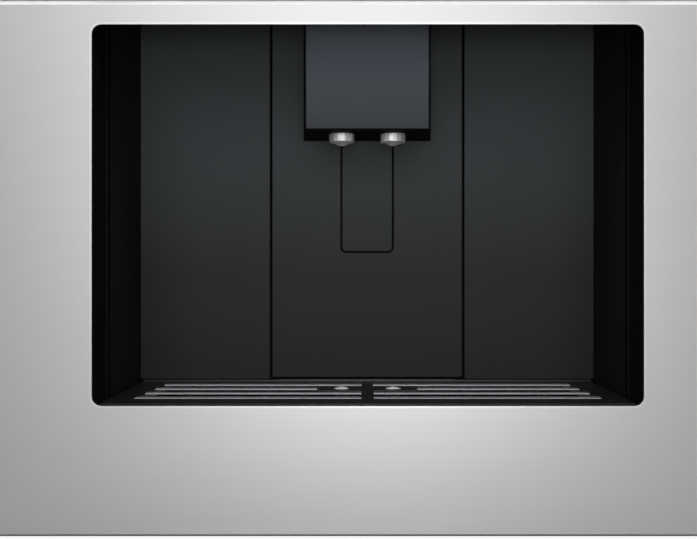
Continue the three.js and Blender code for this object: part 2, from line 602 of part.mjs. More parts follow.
/** The height profile of a folded steel front, with level edges chamfered towards the room. */
function shellProfile(z, thick, topChamfer, bottomChamfer) {
  const shrink = thick * (2 - Math.SQRT2);
  const [low, high] = inset(z, thick);
  const top = Math.max(topChamfer - shrink, 0.01);
  const bottom = Math.max(bottomChamfer - shrink, 0.01);
  const shape = new THREE.Shape();
  const back = thick > 0 ? FRONT.fold + 1 : FRONT.fold;
  shape.moveTo(thick + bottom, low);
  shape.lineTo(back, low);
  shape.lineTo(back, high);
  shape.lineTo(thick + top, high);
  shape.lineTo(thick, high - top);
  shape.lineTo(thick, low + bottom);
  shape.closePath();
  return shape;
}

/** A shallow steel shell: the front sheet with its folded edges, and holes through the front. */
function steelShell(z, topChamfer, bottomChamfer, holes) {
  const outer = sidePlate(shellProfile(z, 0, topChamfer, bottomChamfer), [], about(FRONT.half));
  const inner = sidePlate(shellProfile(z, FRONT.sheet, topChamfer, bottomChamfer), [], about(FRONT.half - FRONT.sheet));
  const shell = outer.subtract(inner);
  return holes.reduce((rest, hole) => rest.subtract(uprightPlate(hole, [], [-1, FRONT.sheet + 1])), shell);
}

function addDoor() {
  const z = [FRONT.bottom, DOOR.top];
  const cutout = roundRect(new THREE.Path(), about(CUTOUT.half), [CUTOUT.bottom, CUTOUT.top], CUTOUT.corner);
  add('door_skin', 'brushedSteel', steelShell(z, DOOR.topChamfer, DOOR.bottomChamfer, [cutout]));

  const outerX = about(FRONT.half - FRONT.inset);
  const outerZ = [z[0] + FRONT.inset, z[1] - FRONT.sheet - GAP];
  const openX = about(LINING.half);
  const openZ = (d) => [LINING.bottom, LINING.top + LINING.rise * d];
  const webBack = FRONT.inset + DOOR.wall;
  const innerBack = DOOR.back - DOOR.panel - GAP;
  const pocket = block(inset(outerX, DOOR.wall), [webBack, innerBack + 1], inset(outerZ, DOOR.wall))
    .subtract(block(inset(openX, -DOOR.wall), [0, DOOR.back], [LINING.bottom - DOOR.wall, DOOR.top]));
  const front = FRONT.inset;
  const body = outlineOf([[front, outerZ[0]], [innerBack, outerZ[0]], [innerBack, outerZ[1]],
    [front + 2.7, outerZ[1]], [front, outerZ[1] - 2.7]]);
  const opening = outlineOf([[0, openZ(0)[0]], [DOOR.back, openZ(0)[0]], [DOOR.back, openZ(DOOR.back)[1]], [0, openZ(0)[1]]]);
  const frame = sidePlate(body, [], outerX).subtract(pocket).subtract(sidePlate(opening, [], openX));
  add('door_frame', 'blackPlastic', frame);

  const hole = (d) => rect(new THREE.Path(), openX, openZ(d));
  const panel = rect(new THREE.Shape(), outerX, outerZ);
  add('door_inner_panel', 'blackPlastic', uprightPlate(panel, [hole(DOOR.back)], [DOOR.back - DOOR.panel, DOOR.back]));
  const sealZ = [LINING.bottom - SEAL.width, outerZ[1] - GAP];
  const seal = rect(new THREE.Shape(), inset(openX, -SEAL.width), sealZ);
  add('door_seal', 'rubber', uprightPlate(seal, [hole(SEAL.back)], [DOOR.back + GAP, SEAL.back]));
}

function addHinges() {
  HINGE.heights.forEach((z, i) => {
    const place = i === 0 ? 'lower' : 'upper';
    const at = { x: HINGE.x, d: HINGE.depth };
    const ends = [[z - HINGE.half, z - HINGE.doorHalf - 0.5], [z + HINGE.doorHalf + 0.5, z + HINGE.half]];
    const own = [z - HINGE.doorHalf, z + HINGE.doorHalf];
    const leafX = [HINGE.x + 5.2, HINGE.x + 21];
    const bore = rod('z', HINGE.pin + GAP, [z - HINGE.half - 1, z + HINGE.half + 1], at, 20);

    let bracket = block(leafX, [46.5, FRAME.front - GAP], about(HINGE.half).map((h) => h + z));
    for (const end of ends) {
      bracket = bracket.add(rod('z', HINGE.radius, end, at, 24)).add(block([HINGE.x, leafX[0] + 1], [47, FRAME.front - GAP], end));
    }
    add(`hinge_bracket_${place}`, 'zincSheet', bracket.subtract(bore));

    const leaf = block(leafX, [DOOR.back + GAP, DOOR.back + 2.5], about(HINGE.half).map((h) => h + z))
      .add(rod('z', HINGE.radius, own, at, 24))
      .add(block([HINGE.x, leafX[0] + 1], [HINGE.depth - HINGE.radius, DOOR.back + 2.5], own));
    add(`hinge_leaf_${place}`, 'zincSheet', leaf.subtract(bore));
    add(`hinge_pin_${place}`, 'polishedSteel', rod('z', HINGE.pin, [z - HINGE.half - 1, z + HINGE.half + 1], at, 16));
  });
}

addCase();
addFrontFrame();
addNiche();
addOutlet();
addDripTray();
addContainers();
addWorks();
addControls();
addDoor();
addHinges();

export default machine;
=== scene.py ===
"""The looks of a built-in coffee machine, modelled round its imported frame.

Everything is in metres in the machine's own frame: X to the right, Y into the cabinet, Z up, with the
steel front facing -Y and the origin on the shelf under the middle of the machine.
"""

import logging
import math
from dataclasses import dataclass
from enum import Enum
from typing import Callable, Iterable, Optional, Sequence

import bpy
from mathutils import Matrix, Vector


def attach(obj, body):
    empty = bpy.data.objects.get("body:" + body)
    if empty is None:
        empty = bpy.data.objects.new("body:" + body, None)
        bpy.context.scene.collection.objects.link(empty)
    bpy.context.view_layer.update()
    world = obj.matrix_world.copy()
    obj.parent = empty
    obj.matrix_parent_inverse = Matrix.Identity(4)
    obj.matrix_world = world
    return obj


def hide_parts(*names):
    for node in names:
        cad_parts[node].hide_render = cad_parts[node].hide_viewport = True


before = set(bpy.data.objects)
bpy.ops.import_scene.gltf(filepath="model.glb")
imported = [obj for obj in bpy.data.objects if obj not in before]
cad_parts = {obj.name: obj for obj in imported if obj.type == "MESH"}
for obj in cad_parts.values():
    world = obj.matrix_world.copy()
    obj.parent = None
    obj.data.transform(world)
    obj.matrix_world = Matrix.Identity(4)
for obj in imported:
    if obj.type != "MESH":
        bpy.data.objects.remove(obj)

log = logging.getLogger("coffee_machine")

MM = 0.001
TOUCH = 1e-6  # points closer than this, in metres, count as one
QUARTER = math.pi / 2  # a quarter turn
SHARP = 35.0  # edges sharper than this many degrees are rounded and keep their crease

Point = tuple[float, float, float]
Colour = tuple[float, float, float]
Ranges = tuple[float, float, float, float]  # from low, from high, to low, to high
EdgeTest = Callable[[Vector, Vector], bool]


class Axis(Enum):
    """A direction in the machine's frame, by its place in a coordinate triple."""

    X = 0
    Y = 1
    Z = 2


# ---- Node tools ------------------------------------------------------------------------------


def calculated(tree: bpy.types.NodeTree, operation: str,
               *values: bpy.types.NodeSocket | float) -> bpy.types.NodeSocket:
    """Adds a math node.

    Args:
        tree: The node tree that gets the node.
        operation: The node's operation.
        *values: What goes into the node: sockets or numbers.

    Returns:
        The node's output.
    """
    node = tree.nodes.new("ShaderNodeMath")
    node.operation = operation
    for place, value in enumerate(values):
        if isinstance(value, (int, float)):
            node.inputs[place].default_value = value
        else:
            tree.links.new(value, node.inputs[place])
    return node.outputs["Value"]


def mapped(tree: bpy.types.NodeTree, value: bpy.types.NodeSocket, ranges: Ranges,
           interpolation: str = "LINEAR") -> bpy.types.NodeSocket:
    """Adds a node that maps one range of a value to another and holds it at the ends.

    Args:
        tree: The node tree that gets the node.
        value: The value to map.
        ranges: The lowest and highest input, and the output at each.
        interpolation: How the output changes between the ends.

    Returns:
        The node's output.
    """
    node = tree.nodes.new("ShaderNodeMapRange")
    node.interpolation_type = interpolation
    for name, number in zip(("From Min", "From Max", "To Min", "To Max"), ranges):
        node.inputs[name].default_value = number
    tree.links.new(value, node.inputs["Value"])
    return node.outputs["Result"]


def split(tree: bpy.types.NodeTree, place: bpy.types.NodeSocket) -> bpy.types.NodeOutputs:
    """Adds a node that splits a place into its X, Y and Z, and gives its outputs."""
    node = tree.nodes.new("ShaderNodeSeparateXYZ")
    tree.links.new(place, node.inputs["Vector"])
    return node.outputs


# ---- Finishes --------------------------------------------------------------------------------


@dataclass(frozen=True)
class Finish:
    """A surface finish made of procedural nodes on object coordinates.

    The grain is a noise that is stretched along one axis for brushed metal and left even for
    moulded or coated surfaces. It varies the colour, the roughness and a fine bump. An optional rise
    paints light and shade: it makes the colour lighter or darker with height.
    """

    name: str
    colour: Colour
    metallic: float = 0.0
    roughness: float = 0.5
    grain_scale: Point = (900.0, 900.0, 900.0)
    colour_spread: float = 0.08
    roughness_spread: float = 0.08
    bump: float = 0.05
    bump_depth: float = 0.0001
    cloud_scale: float = 9.0
    cloud_spread: float = 0.04
    coat: float = 0.0
    coat_roughness: float = 0.08
    transmission: float = 0.0
    specular: float = 0.5
    # painted light and shade: the rise scales the colour from its tone at the low Z to its tone at the high Z
    rise: Optional[Ranges] = None  # low and high Z, and the tone at each

    def build(self) -> bpy.types.Material:
        """Builds the Blender material of this finish.

        Returns:
            The new material.
        """
        material = bpy.data.materials.new(self.name)
        material.use_nodes = True
        tree = material.node_tree
        nodes, links = tree.nodes, tree.links
        shader = nodes["Principled BSDF"]
        for socket, value in (("Metallic", self.metallic), ("Coat Weight", self.coat),
                              ("Coat Roughness", self.coat_roughness),
                              ("Transmission Weight", self.transmission),
                              ("Specular IOR Level", self.specular)):
            shader.inputs[socket].default_value = value

        place = nodes.new("ShaderNodeTexCoord").outputs["Object"]
        stretch = nodes.new("ShaderNodeMapping")
        stretch.inputs["Scale"].default_value = self.grain_scale
        links.new(place, stretch.inputs["Vector"])
        grain = self._noise(tree, stretch.outputs["Vector"], 1.0, 3.0)
        cloud = self._noise(tree, place, self.cloud_scale, 2.0)

        tone = mapped(tree, cloud, (0.0, 1.0, 1.0 - self.cloud_spread, 1.0 + self.cloud_spread))
        # painted light and shade: the colour is multiplied by a tone that changes with height
        if self.rise:
            height = mapped(tree, split(tree, place)["Z"], self.rise, "SMOOTHSTEP")
            tone = calculated(tree, "MULTIPLY", tone, height)
        tinted = nodes.new("ShaderNodeVectorMath")
        tinted.operation = "SCALE"
        links.new(self._shades(tree, grain), tinted.inputs[0])
        links.new(tone, tinted.inputs["Scale"])
        links.new(tinted.outputs["Vector"], shader.inputs["Base Color"])

        smoothest, roughest = self.roughness - self.roughness_spread, self.roughness + self.roughness_spread
        gloss = mapped(tree, grain, (0.0, 1.0, max(smoothest, 0.02), min(roughest, 1.0)))
        links.new(gloss, shader.inputs["Roughness"])

        relief = nodes.new("ShaderNodeBump")
        relief.inputs["Strength"].default_value = self.bump
        relief.inputs["Distance"].default_value = self.bump_depth
        links.new(grain, relief.inputs["Height"])
        links.new(relief.outputs["Normal"], shader.inputs["Normal"])
        return material

    @staticmethod
    def _noise(tree: bpy.types.NodeTree, place: bpy.types.NodeSocket, scale: float,
               detail: float) -> bpy.types.NodeSocket:
        """Adds a noise.

        Args:
            tree: The node tree that gets the noise.
            place: The place that it is read at.
            scale: How fine it is.
            detail: How many finer layers it has.

        Returns:
            The noise's output.
        """
        noise = tree.nodes.new("ShaderNodeTexNoise")
        noise.inputs["Scale"].default_value = scale
        noise.inputs["Detail"].default_value = detail
        tree.links.new(place, noise.inputs["Vector"])
        return noise.outputs["Fac"]

    def _shades(self, tree: bpy.types.NodeTree, grain: bpy.types.NodeSocket) -> bpy.types.NodeSocket:
        """Adds a ramp that runs from a darker to a lighter shade of the finish's colour.

        Args:
            tree: The node tree that gets the ramp.
            grain: The value that picks the shade.

        Returns:
            The ramp's colour.
        """
        ramp = tree.nodes.new("ShaderNodeValToRGB")
        low, high = ramp.color_ramp.elements
        low.position, high.position = 0.3, 0.7
        low.color = (*(c * (1 - self.colour_spread) for c in self.colour), 1.0)
        high.color = (*(min(c * (1 + self.colour_spread), 1.0) for c in self.colour), 1.0)
        tree.links.new(grain, ramp.inputs["Fac"])
        return ramp.outputs["Color"]


BRUSHED_ALONG_X = (6.0, 2500.0, 2500.0)
GROUND_ALONG_X = (8.0, 1800.0, 1800.0)
FINE_GRAIN = (1400.0, 1400.0, 1400.0)
POLISH_GRAIN = (400.0, 400.0, 400.0)

BRUSHED_STEEL = Finish("brushed_steel", (0.615, 0.622, 0.620), metallic=1.0, roughness=0.45,
                       grain_scale=BRUSHED_ALONG_X, colour_spread=0.022, roughness_spread=0.03, bump=0.04,
                       bump_depth=0.00003, cloud_scale=7.0, cloud_spread=0.012)
# painted light and shade: the niche's back panels are darker at the bottom and much lighter towards the top
# of the niche
DARK_PANEL = Finish("dark_panel", (0.032, 0.036, 0.039), roughness=0.55, grain_scale=FINE_GRAIN,
                    colour_spread=0.05, roughness_spread=0.05, bump_depth=0.00003, cloud_scale=6.0,
                    cloud_spread=0.05, specular=0.2, rise=(0.08, 0.36, 0.45, 2.6))
# painted light: the outlet cover's colour grows lighter towards its top, over the shade that the door's upper
# edge casts
OUTLET_COAT = Finish("outlet_coat", (0.052, 0.057, 0.069), grain_scale=FINE_GRAIN, colour_spread=0.05,
                     roughness_spread=0.05, bump_depth=0.00003, cloud_scale=6.0, cloud_spread=0.05,
                     specular=0.2, rise=(0.27, 0.345, 1.0, 2.8))
NICHE_LINING = Finish("niche_lining", (0.0065, 0.006, 0.0045), roughness=0.6, cloud_spread=0.1, specular=0.25)
DOOR_LINING = Finish("door_lining", (0.0018, 0.0015, 0.0012), roughness=0.7, cloud_spread=0.1, specular=0.1)
BLACK_PLASTIC = Finish("black_plastic", (0.012, 0.012, 0.013), bump=0.15)
TRAY_BLACK = Finish("tray_black", (0.007, 0.007, 0.008), roughness=0.38, bump=0.1)
GRATE_STEEL = Finish("grate_steel", (0.29, 0.29, 0.31), metallic=0.35, roughness=0.4,
                     grain_scale=GROUND_ALONG_X, colour_spread=0.05, roughness_spread=0.06,
                     bump_depth=0.00003)
NOZZLE_STEEL = Finish("nozzle_steel", (0.99, 0.99, 0.98), metallic=0.55, roughness=0.33,
                      grain_scale=POLISH_GRAIN, colour_spread=0.03, roughness_spread=0.05, bump=0.03,
                      bump_depth=0.00002)
DISH_STEEL = Finish("dish_steel", (0.97, 0.97, 0.97), metallic=0.3, roughness=0.22, grain_scale=POLISH_GRAIN,
                    colour_spread=0.02, roughness_spread=0.05, bump=0.02, bump_depth=0.00002)
# painted highlight: a near-white matt colour that stands in for the shine of the door's steel top chamfer
TOP_EDGE_HIGHLIGHT = Finish("top_edge_painted_highlight", (0.97, 0.97, 0.97), roughness=0.4, grain_scale=POLISH_GRAIN,
                    colour_spread=0.02, roughness_spread=0.04, bump=0.02, bump_depth=0.00002)
# partly painted highlight: the polished rim's colour is lighter than the brushed steel round it, which paints
# the bright line along the opening's edge
RIM_STEEL_AND_HIGHLIGHT = Finish("rim_steel_and_highlight", (0.72, 0.725, 0.72), metallic=1.0, roughness=0.40, grain_scale=POLISH_GRAIN,
                   colour_spread=0.02, roughness_spread=0.03, bump=0.03, bump_depth=0.00002)
POLISHED_STEEL = Finish("polished_steel", (0.66, 0.66, 0.655), metallic=1.0, roughness=0.16,
                        grain_scale=POLISH_GRAIN, colour_spread=0.03, roughness_spread=0.05, bump=0.03,
                        bump_depth=0.00002)
ZINC_SHEET = Finish("zinc_sheet", (0.38, 0.395, 0.40), metallic=0.9, roughness=0.42,
                    grain_scale=(60.0, 60.0, 60.0), colour_spread=0.14, roughness_spread=0.12)
CLEAR_PLASTIC = Finish("clear_plastic", (0.80, 0.85, 0.87), roughness=0.12, transmission=0.85)
WHITE_PLASTIC = Finish("white_plastic", (0.72, 0.72, 0.70), roughness=0.4)
RED_PLASTIC = Finish("red_plastic", (0.45, 0.02, 0.015), roughness=0.4)
DISPLAY_GLASS = Finish("display_glass", (0.006, 0.007, 0.009), roughness=0.06, coat=1.0,
                       roughness_spread=0.02)
CIRCUIT_BOARD = Finish("circuit_board", (0.02, 0.11, 0.04), roughness=0.35, grain_scale=(350.0, 40.0, 350.0),
                       colour_spread=0.35)
CAST_ALUMINIUM = Finish("cast_aluminium", (0.42, 0.43, 0.44), metallic=0.9, roughness=0.55,
                        grain_scale=(500.0, 500.0, 500.0), colour_spread=0.1, roughness_spread=0.1, bump=0.4,
                        bump_depth=0.0003)
FLOOR_PAINT = Finish("floor_paint", (0.31, 0.31, 0.31), roughness=0.7, grain_scale=(30.0, 30.0, 30.0),
                     colour_spread=0.01, roughness_spread=0.05, bump=0.02)

NODE_FINISHES: dict[Finish, tuple[str, ...]] = {
    DARK_PANEL: ("left_back_panel", "right_back_panel", "centre_back_panel", "outlet_shutter"),
    NICHE_LINING: ("niche_left_wall", "niche_right_wall", "niche_ceiling"),
    DOOR_LINING: ("door_frame", "niche_back_frame", "front_frame", "outlet_carriage", "door_seal",
                  "slot_seal"),
    BLACK_PLASTIC: ("power_inlet", "drip_tray", "grounds_container", "water_tank_lid", "milk_container_lid",
                    "bean_container_lid", "brew_frame", "fan_housing", "fan_rotor", "fascia_carrier",
                    "door_inner_panel"),
    POLISHED_STEEL: ("outlet_rail_left", "outlet_rail_right", "grinder_burr", "hinge_pin_lower",
                     "hinge_pin_upper"),
    ZINC_SHEET: ("base_pan", "left_side_panel", "right_side_panel", "top_panel", "rear_panel", "pump",
                 "hinge_bracket_lower", "hinge_bracket_upper", "hinge_leaf_lower", "hinge_leaf_upper"),
    CLEAR_PLASTIC: ("water_tank", "milk_container", "bean_container"),
    WHITE_PLASTIC: ("brew_piston",),
    RED_PLASTIC: ("tray_float",),
    DISPLAY_GLASS: ("display_glass",),
    CIRCUIT_BOARD: ("control_board",),
    CAST_ALUMINIUM: ("grinder_housing", "thermoblock"),
}


class Palette:
    """Builds each finish once and hands out its material."""

    def __init__(self) -> None:
        """Starts with no materials."""
        self._made: dict[Finish, bpy.types.Material] = {}

    def dress(self, piece: bpy.types.Object, finish: Finish) -> None:
        """Gives a piece one finish all over.

        Args:
            piece: The object to dress.
            finish: Its finish.
        """
        if finish not in self._made:
            self._made[finish] = finish.build()
        piece.data.materials.clear()
        piece.data.materials.append(self._made[finish])


# ---- Shaping tools ---------------------------------------------------------------------------


def on_planes(*planes: tuple[Axis, float]) -> EdgeTest:
    """Makes a test of whether both ends of an edge lie on planes.

    Args:
        *planes: For each plane the axis that it stands across, and its place on that axis in metres.

    Returns:
        The test.
    """
    return lambda a, b: all(abs(end[axis.value] - level) < TOUCH for axis, level in planes for end in (a, b))


def runs_along_y(a: Vector, b: Vector) -> bool:
    """Tells whether an edge runs along Y, by its two ends."""
    return abs(a.x - b.x) < TOUCH and abs(a.z - b.z) < TOUCH


def rounding(piece: bpy.types.Object, width: float, segments: int,
             angle: float = SHARP) -> bpy.types.Modifier:
    """Adds a bevel on the sharp edges of a piece.

    Args:
        piece: The object that gets the modifier.
        width: The width of the rounding.
        segments: Its number of facets.
        angle: Edges sharper than this, in degrees, are rounded.

    Returns:
        The live modifier.
    """
    bevel = piece.modifiers.new("ease", "BEVEL")
    bevel.width = width
    bevel.segments = segments
    bevel.limit_method = "ANGLE"
    bevel.angle_limit = math.radians(angle)
    return bevel


class Bench:
    """Hand tools for new pieces: each works on one object at a time with Blender's operators."""

    @staticmethod
    def pick(piece: bpy.types.Object) -> None:
        """Makes a piece the only selected one and the active one."""
        bpy.ops.object.select_all(action="DESELECT")
        piece.select_set(True)
        bpy.context.view_layer.objects.active = piece

    @classmethod
    def block(cls, name: str, low: Sequence[float], high: Sequence[float]) -> bpy.types.Object:
        """Adds a box between two corners, with its place in its mesh.

        Args:
            name: The new object's name.
            low: The lowest corner.
            high: The highest corner.

        Returns:
            The new object.
        """
        bpy.ops.object.select_all(action="DESELECT")
        middle = [(a + b) / 2 for a, b in zip(low, high)]
        size = [b - a for a, b in zip(low, high)]
        bpy.ops.mesh.primitive_cube_add(size=1.0, location=middle, scale=size)
        return cls._settle(name)

    @classmethod
    def rod(cls, name: str, radius: float, centre: Sequence[float], length: float, axis: Axis,
            sides: int = 48) -> bpy.types.Object:
        """Adds a round bar about its centre, along an axis.

        Args:
            name: The new object's name.
            radius: The bar's radius.
            centre: Its centre.
            length: Its length.
            axis: The direction that it runs in.
            sides: The number of its faces round about.

        Returns:
            The new object.
        """
        turn = {Axis.X: (0, QUARTER, 0), Axis.Y: (QUARTER, 0, 0), Axis.Z: (0, 0, 0)}[axis]
        bpy.ops.object.select_all(action="DESELECT")
        bpy.ops.mesh.primitive_cylinder_add(vertices=sides, radius=radius, depth=length,
                                            location=centre, rotation=turn)
        return cls._settle(name)

    @classmethod
    def turned(cls, name: str, centre: Sequence[float], axis: Axis,
               rings: Sequence[tuple[float, float]], sides: int = 48) -> bpy.types.Object:
        """Turns a piece: a disc is extruded and scaled ring by ring along an axis.

        Args:
            name: The new object's name.
            centre: The point on the axis from which heights are counted.
            axis: The axis of the piece.
            rings: A (radius, height) pair for each ring, with the heights rising.
            sides: The number of faces round about.

        Returns:
            The new object.
        """
        turn = {Axis.X: (0, QUARTER, 0), Axis.Y: (-QUARTER, 0, 0), Axis.Z: (0, 0, 0)}[axis]
        step = Vector((0, 0, 0))
        step[axis.value] = 1.0
        radius, height = rings[0]
        start = Vector(centre) + step * height
        bpy.ops.object.select_all(action="DESELECT")
        bpy.ops.mesh.primitive_circle_add(vertices=sides, radius=radius, fill_type="NGON",
                                          location=start, rotation=turn)
        piece = cls._settle(name)
        bpy.ops.object.mode_set(mode="EDIT")
        bpy.ops.mesh.select_all(action="SELECT")
        for next_radius, next_height in rings[1:]:
            bpy.ops.mesh.extrude_region_move(
                TRANSFORM_OT_translate={"value": tuple(step * (next_height - height))})
            scale = [next_radius / radius] * 3
            scale[axis.value] = 1.0
            bpy.ops.transform.resize(value=scale, center_override=tuple(Vector(centre) + step * next_height))
            radius, height = next_radius, next_height
        bpy.ops.mesh.select_all(action="SELECT")
        bpy.ops.mesh.normals_make_consistent(inside=False)
        bpy.ops.object.mode_set(mode="OBJECT")
        return piece

    @staticmethod
    def _settle(name: str) -> bpy.types.Object:
        """Names the active object and moves its place, turn and scale into its mesh."""
        piece = bpy.context.active_object
        piece.name = name
        piece.data.name = name
        bpy.ops.object.transform_apply(location=True, rotation=True, scale=True)
        return piece

    @classmethod
    def chamfer(cls, piece: bpy.types.Object, wanted: EdgeTest, width: float, segments: int = 1) -> None:
        """Bevels the edges whose two ends pass a test.

        Args:
            piece: The object to shape.
            wanted: A test of an edge's two ends.
            width: The bevel's width.
            segments: 1 for a flat chamfer, more for a round one.
        """
        cls.pick(piece)
        bpy.ops.object.mode_set(mode="EDIT")
        bpy.ops.mesh.select_mode(type="EDGE")
        bpy.ops.mesh.select_all(action="DESELECT")
        bpy.ops.object.mode_set(mode="OBJECT")
        points = piece.data.vertices
        for edge in piece.data.edges:
            edge.select = wanted(*(points[v].co for v in edge.vertices))
        bpy.ops.object.mode_set(mode="EDIT")
        bpy.ops.mesh.bevel(offset=width, segments=segments, affect="EDGES", clamp_overlap=True)
        bpy.ops.object.mode_set(mode="OBJECT")

    @classmethod
    def carve(cls, piece: bpy.types.Object, *cutters: bpy.types.Object) -> None:
        """Cuts the cutters' shapes out of a piece and removes the cutters.

        Args:
            piece: The object to cut.
            cutters: The shapes to take away.
        """
        cls._combine(piece, cutters, "DIFFERENCE")

    @classmethod
    def weld(cls, piece: bpy.types.Object, *others: bpy.types.Object) -> None:
        """Joins other shapes to a piece as one body and removes them.

        Args:
            piece: The object that grows.
            others: The shapes to add.
        """
        cls._combine(piece, others, "UNION")

    @classmethod
    def _combine(cls, piece: bpy.types.Object, others: Iterable[bpy.types.Object], operation: str) -> None:
        """Applies one Boolean modifier for each of the other shapes."""
        for other in others:
            cls.pick(piece)
            change = piece.modifiers.new("combine", "BOOLEAN")
            change.operation = operation
            change.solver = "EXACT"
            change.object = other
            bpy.ops.object.modifier_apply(modifier=change.name)
            bpy.data.objects.remove(other)

    @classmethod
    def together(cls, pieces: Sequence[bpy.types.Object], name: str = "together") -> bpy.types.Object:
        """Makes one object of several.

        Args:
            pieces: The objects to join.
            name: The name of the joined object.

        Returns:
            The joined object.
        """
        cls.pick(pieces[0])
        for piece in pieces:
            piece.select_set(True)
        bpy.ops.object.join()
        joined = bpy.context.active_object
        joined.name = name
        joined.data.name = name
        return joined

    @classmethod
    def ease(cls, piece: bpy.types.Object, width: float, segments: int = 2, angle: float = SHARP) -> None:
        """Rounds every sharp edge of a new piece and smooths its shading.

        Args:
            piece: The object to finish.
            width: The width of the rounding.
            segments: Its number of facets.
            angle: Edges sharper than this, in degrees, are rounded.
        """
        cls.pick(piece)
        bpy.ops.object.modifier_apply(modifier=rounding(piece, width, segments, angle).name)
        cls.smooth(piece)

    @classmethod
    def smooth(cls, piece: bpy.types.Object, angle: float = SHARP) -> None:
        """Smooths the shading of all edges flatter than an angle in degrees and keeps large faces flat."""
        cls.pick(piece)
        bpy.ops.object.shade_smooth_by_angle(angle=math.radians(angle))
        even = piece.modifiers.new("even", "WEIGHTED_NORMAL")
        even.keep_sharp = True
        bpy.ops.object.modifier_apply(modifier=even.name)


def soften_node(name: str, width: float, segments: int = 2) -> None:
    """Rounds the sharp edges of a CAD node with live modifiers, which leave its mesh as it is.

    Args:
        name: The CAD node's name.
        width: The width of the rounding.
        segments: Its number of facets.
    """
    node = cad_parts[name]
    node.modifiers.new("merge", "WELD").merge_threshold = TOUCH
    rounding(node, width, segments).harden_normals = True


# ---- The machine's pieces --------------------------------------------------------------------

SKIN_Y = -182.5  # the steel front's outer face, in mm; depths are counted from it
PAST = 5.0  # how far, in mm, a cutter reaches past what it cuts
NODE_EDGE = 0.35  # in mm, the rounding of the CAD nodes' edges
NOZZLE_X = 19.7  # in mm, from the middle to each nozzle and the drain dish under it
KNOB_X, BUTTON_X, CONTROL_Z = 165.0, 255.0, 412.0  # in mm, where the controls sit


def at(x: float, depth: float, z: float) -> Point:
    """Gives in metres the place of a point whose X, depth behind the steel front and height are in mm."""
    return (x * MM, (SKIN_Y + depth) * MM, z * MM)


@dataclass
class SteelShell:
    """A brushed steel front: a thin sheet that is folded back along its four sides. Sizes are in mm."""

    name: str
    bottom: float
    top: float
    top_chamfer: float = 0.0
    bottom_chamfer: float = 0.0
    half: float = 295.0
    sheet: float = 1.5
    fold: float = 18.0
    least_chamfer: float = 0.05

    def build(self) -> bpy.types.Object:
        """Models the shell without its openings.

        Returns:
            The new object.
        """
        shell = self._body(self.name, 0.0, self.fold)
        ease = self.sheet * (2 - math.sqrt(2))  # keeps the sheet as thick along the chamfers
        hollow = self._body("hollow", self.sheet, self.fold + 2, ease)
        Bench.carve(shell, hollow)
        return shell

    def _body(self, name: str, shrink: float, back: float, ease: float = 0.0) -> bpy.types.Object:
        """Models one of the two solids of the shell with the chamfers of its front edges.

        Args:
            name: The object's name.
            shrink: How far its sides and its front lie inside the shell's outline.
            back: The depth of its back.
            ease: How much smaller its chamfers are.

        Returns:
            The new object.
        """
        half, low, high = self.half - shrink, self.bottom + shrink, self.top - shrink
        body = Bench.block(name, at(-half, shrink, low), at(half, back, high))
        front = at(0, shrink, 0)[1]
        for level, chamfer in ((high, self.top_chamfer), (low, self.bottom_chamfer)):
            if chamfer - ease > self.least_chamfer:
                Bench.chamfer(body, on_planes((Axis.Y, front), (Axis.Z, level * MM)), (chamfer - ease) * MM)
        return body


@dataclass(frozen=True)
class Opening:
    """The outline of the door's opening. Sizes are in mm."""

    half: float = 185.0
    bottom: float = 88.1
    top: float = 343.8
    corner: float = 6.4
    facets: int = 10

    def slab(self, name: str, grow: float, front: float, back: float) -> bpy.types.Object:
        """Models a slab with the opening's outline, grown all round.

        Args:
            name: The object's name.
            grow: How far its sides lie outside the opening.
            front: The depth of its front.
            back: The depth of its back.

        Returns:
            The new object.
        """
        slab = Bench.block(name, at(-self.half - grow, front, self.bottom - grow),
                           at(self.half + grow, back, self.top + grow))
        Bench.chamfer(slab, runs_along_y, (self.corner + grow) * MM, self.facets)
        return slab


@dataclass
class DoorSkin:
    """The steel door front with its large opening, whose rim is rounded over and shines."""

    shell: SteelShell
    opening: Opening
    rim: float = 0.6
    near: float = 0.1

    def build(self) -> bpy.types.Object:
        """Models the door skin.

        Returns:
            The new object.
        """
        skin = self.shell.build()
        Bench.carve(skin, self.opening.slab("window", 0.0, -PAST, PAST))
        reach = (self.opening.half + self.near) * MM
        low, high = (self.opening.bottom - self.near) * MM, (self.opening.top + self.near) * MM
        on_front = on_planes((Axis.Y, at(0, 0, 0)[1]))
        Bench.chamfer(skin, lambda a, b: on_front(a, b) and all(abs(end.x) < reach and low < end.z < high
                                                                for end in (a, b)), self.rim * MM, 4)
        Bench.ease(skin, 0.25 * MM, 2, 40.0)
        return skin


@dataclass
class TopEdge:
    """The pale edge along the top of the door: a hair-thin strip on its long chamfer, whose near-white matt
    colour paints the chamfer's highlight.
    """

    half: float = 294.6
    top: float = 360.8
    chamfer: float = 3.7
    lap: float = 0.4  # how far it reaches past the chamfer
    proud: float = 0.05

    def build(self) -> bpy.types.Object:
        """Models the strip.

        Returns:
            The new object.
        """
        reach = self.chamfer + self.lap
        strip = Bench.block("door_top_edge", at(-self.half, -self.proud, self.top - reach),
                            at(self.half, reach, self.top + self.proud))
        front, ceiling = at(0, -self.proud, 0)[1], (self.top + self.proud) * MM
        Bench.chamfer(strip, on_planes((Axis.Y, front), (Axis.Z, ceiling)), self.chamfer * MM)
        Bench.ease(strip, 0.2 * MM, 2, 40.0)
        return strip


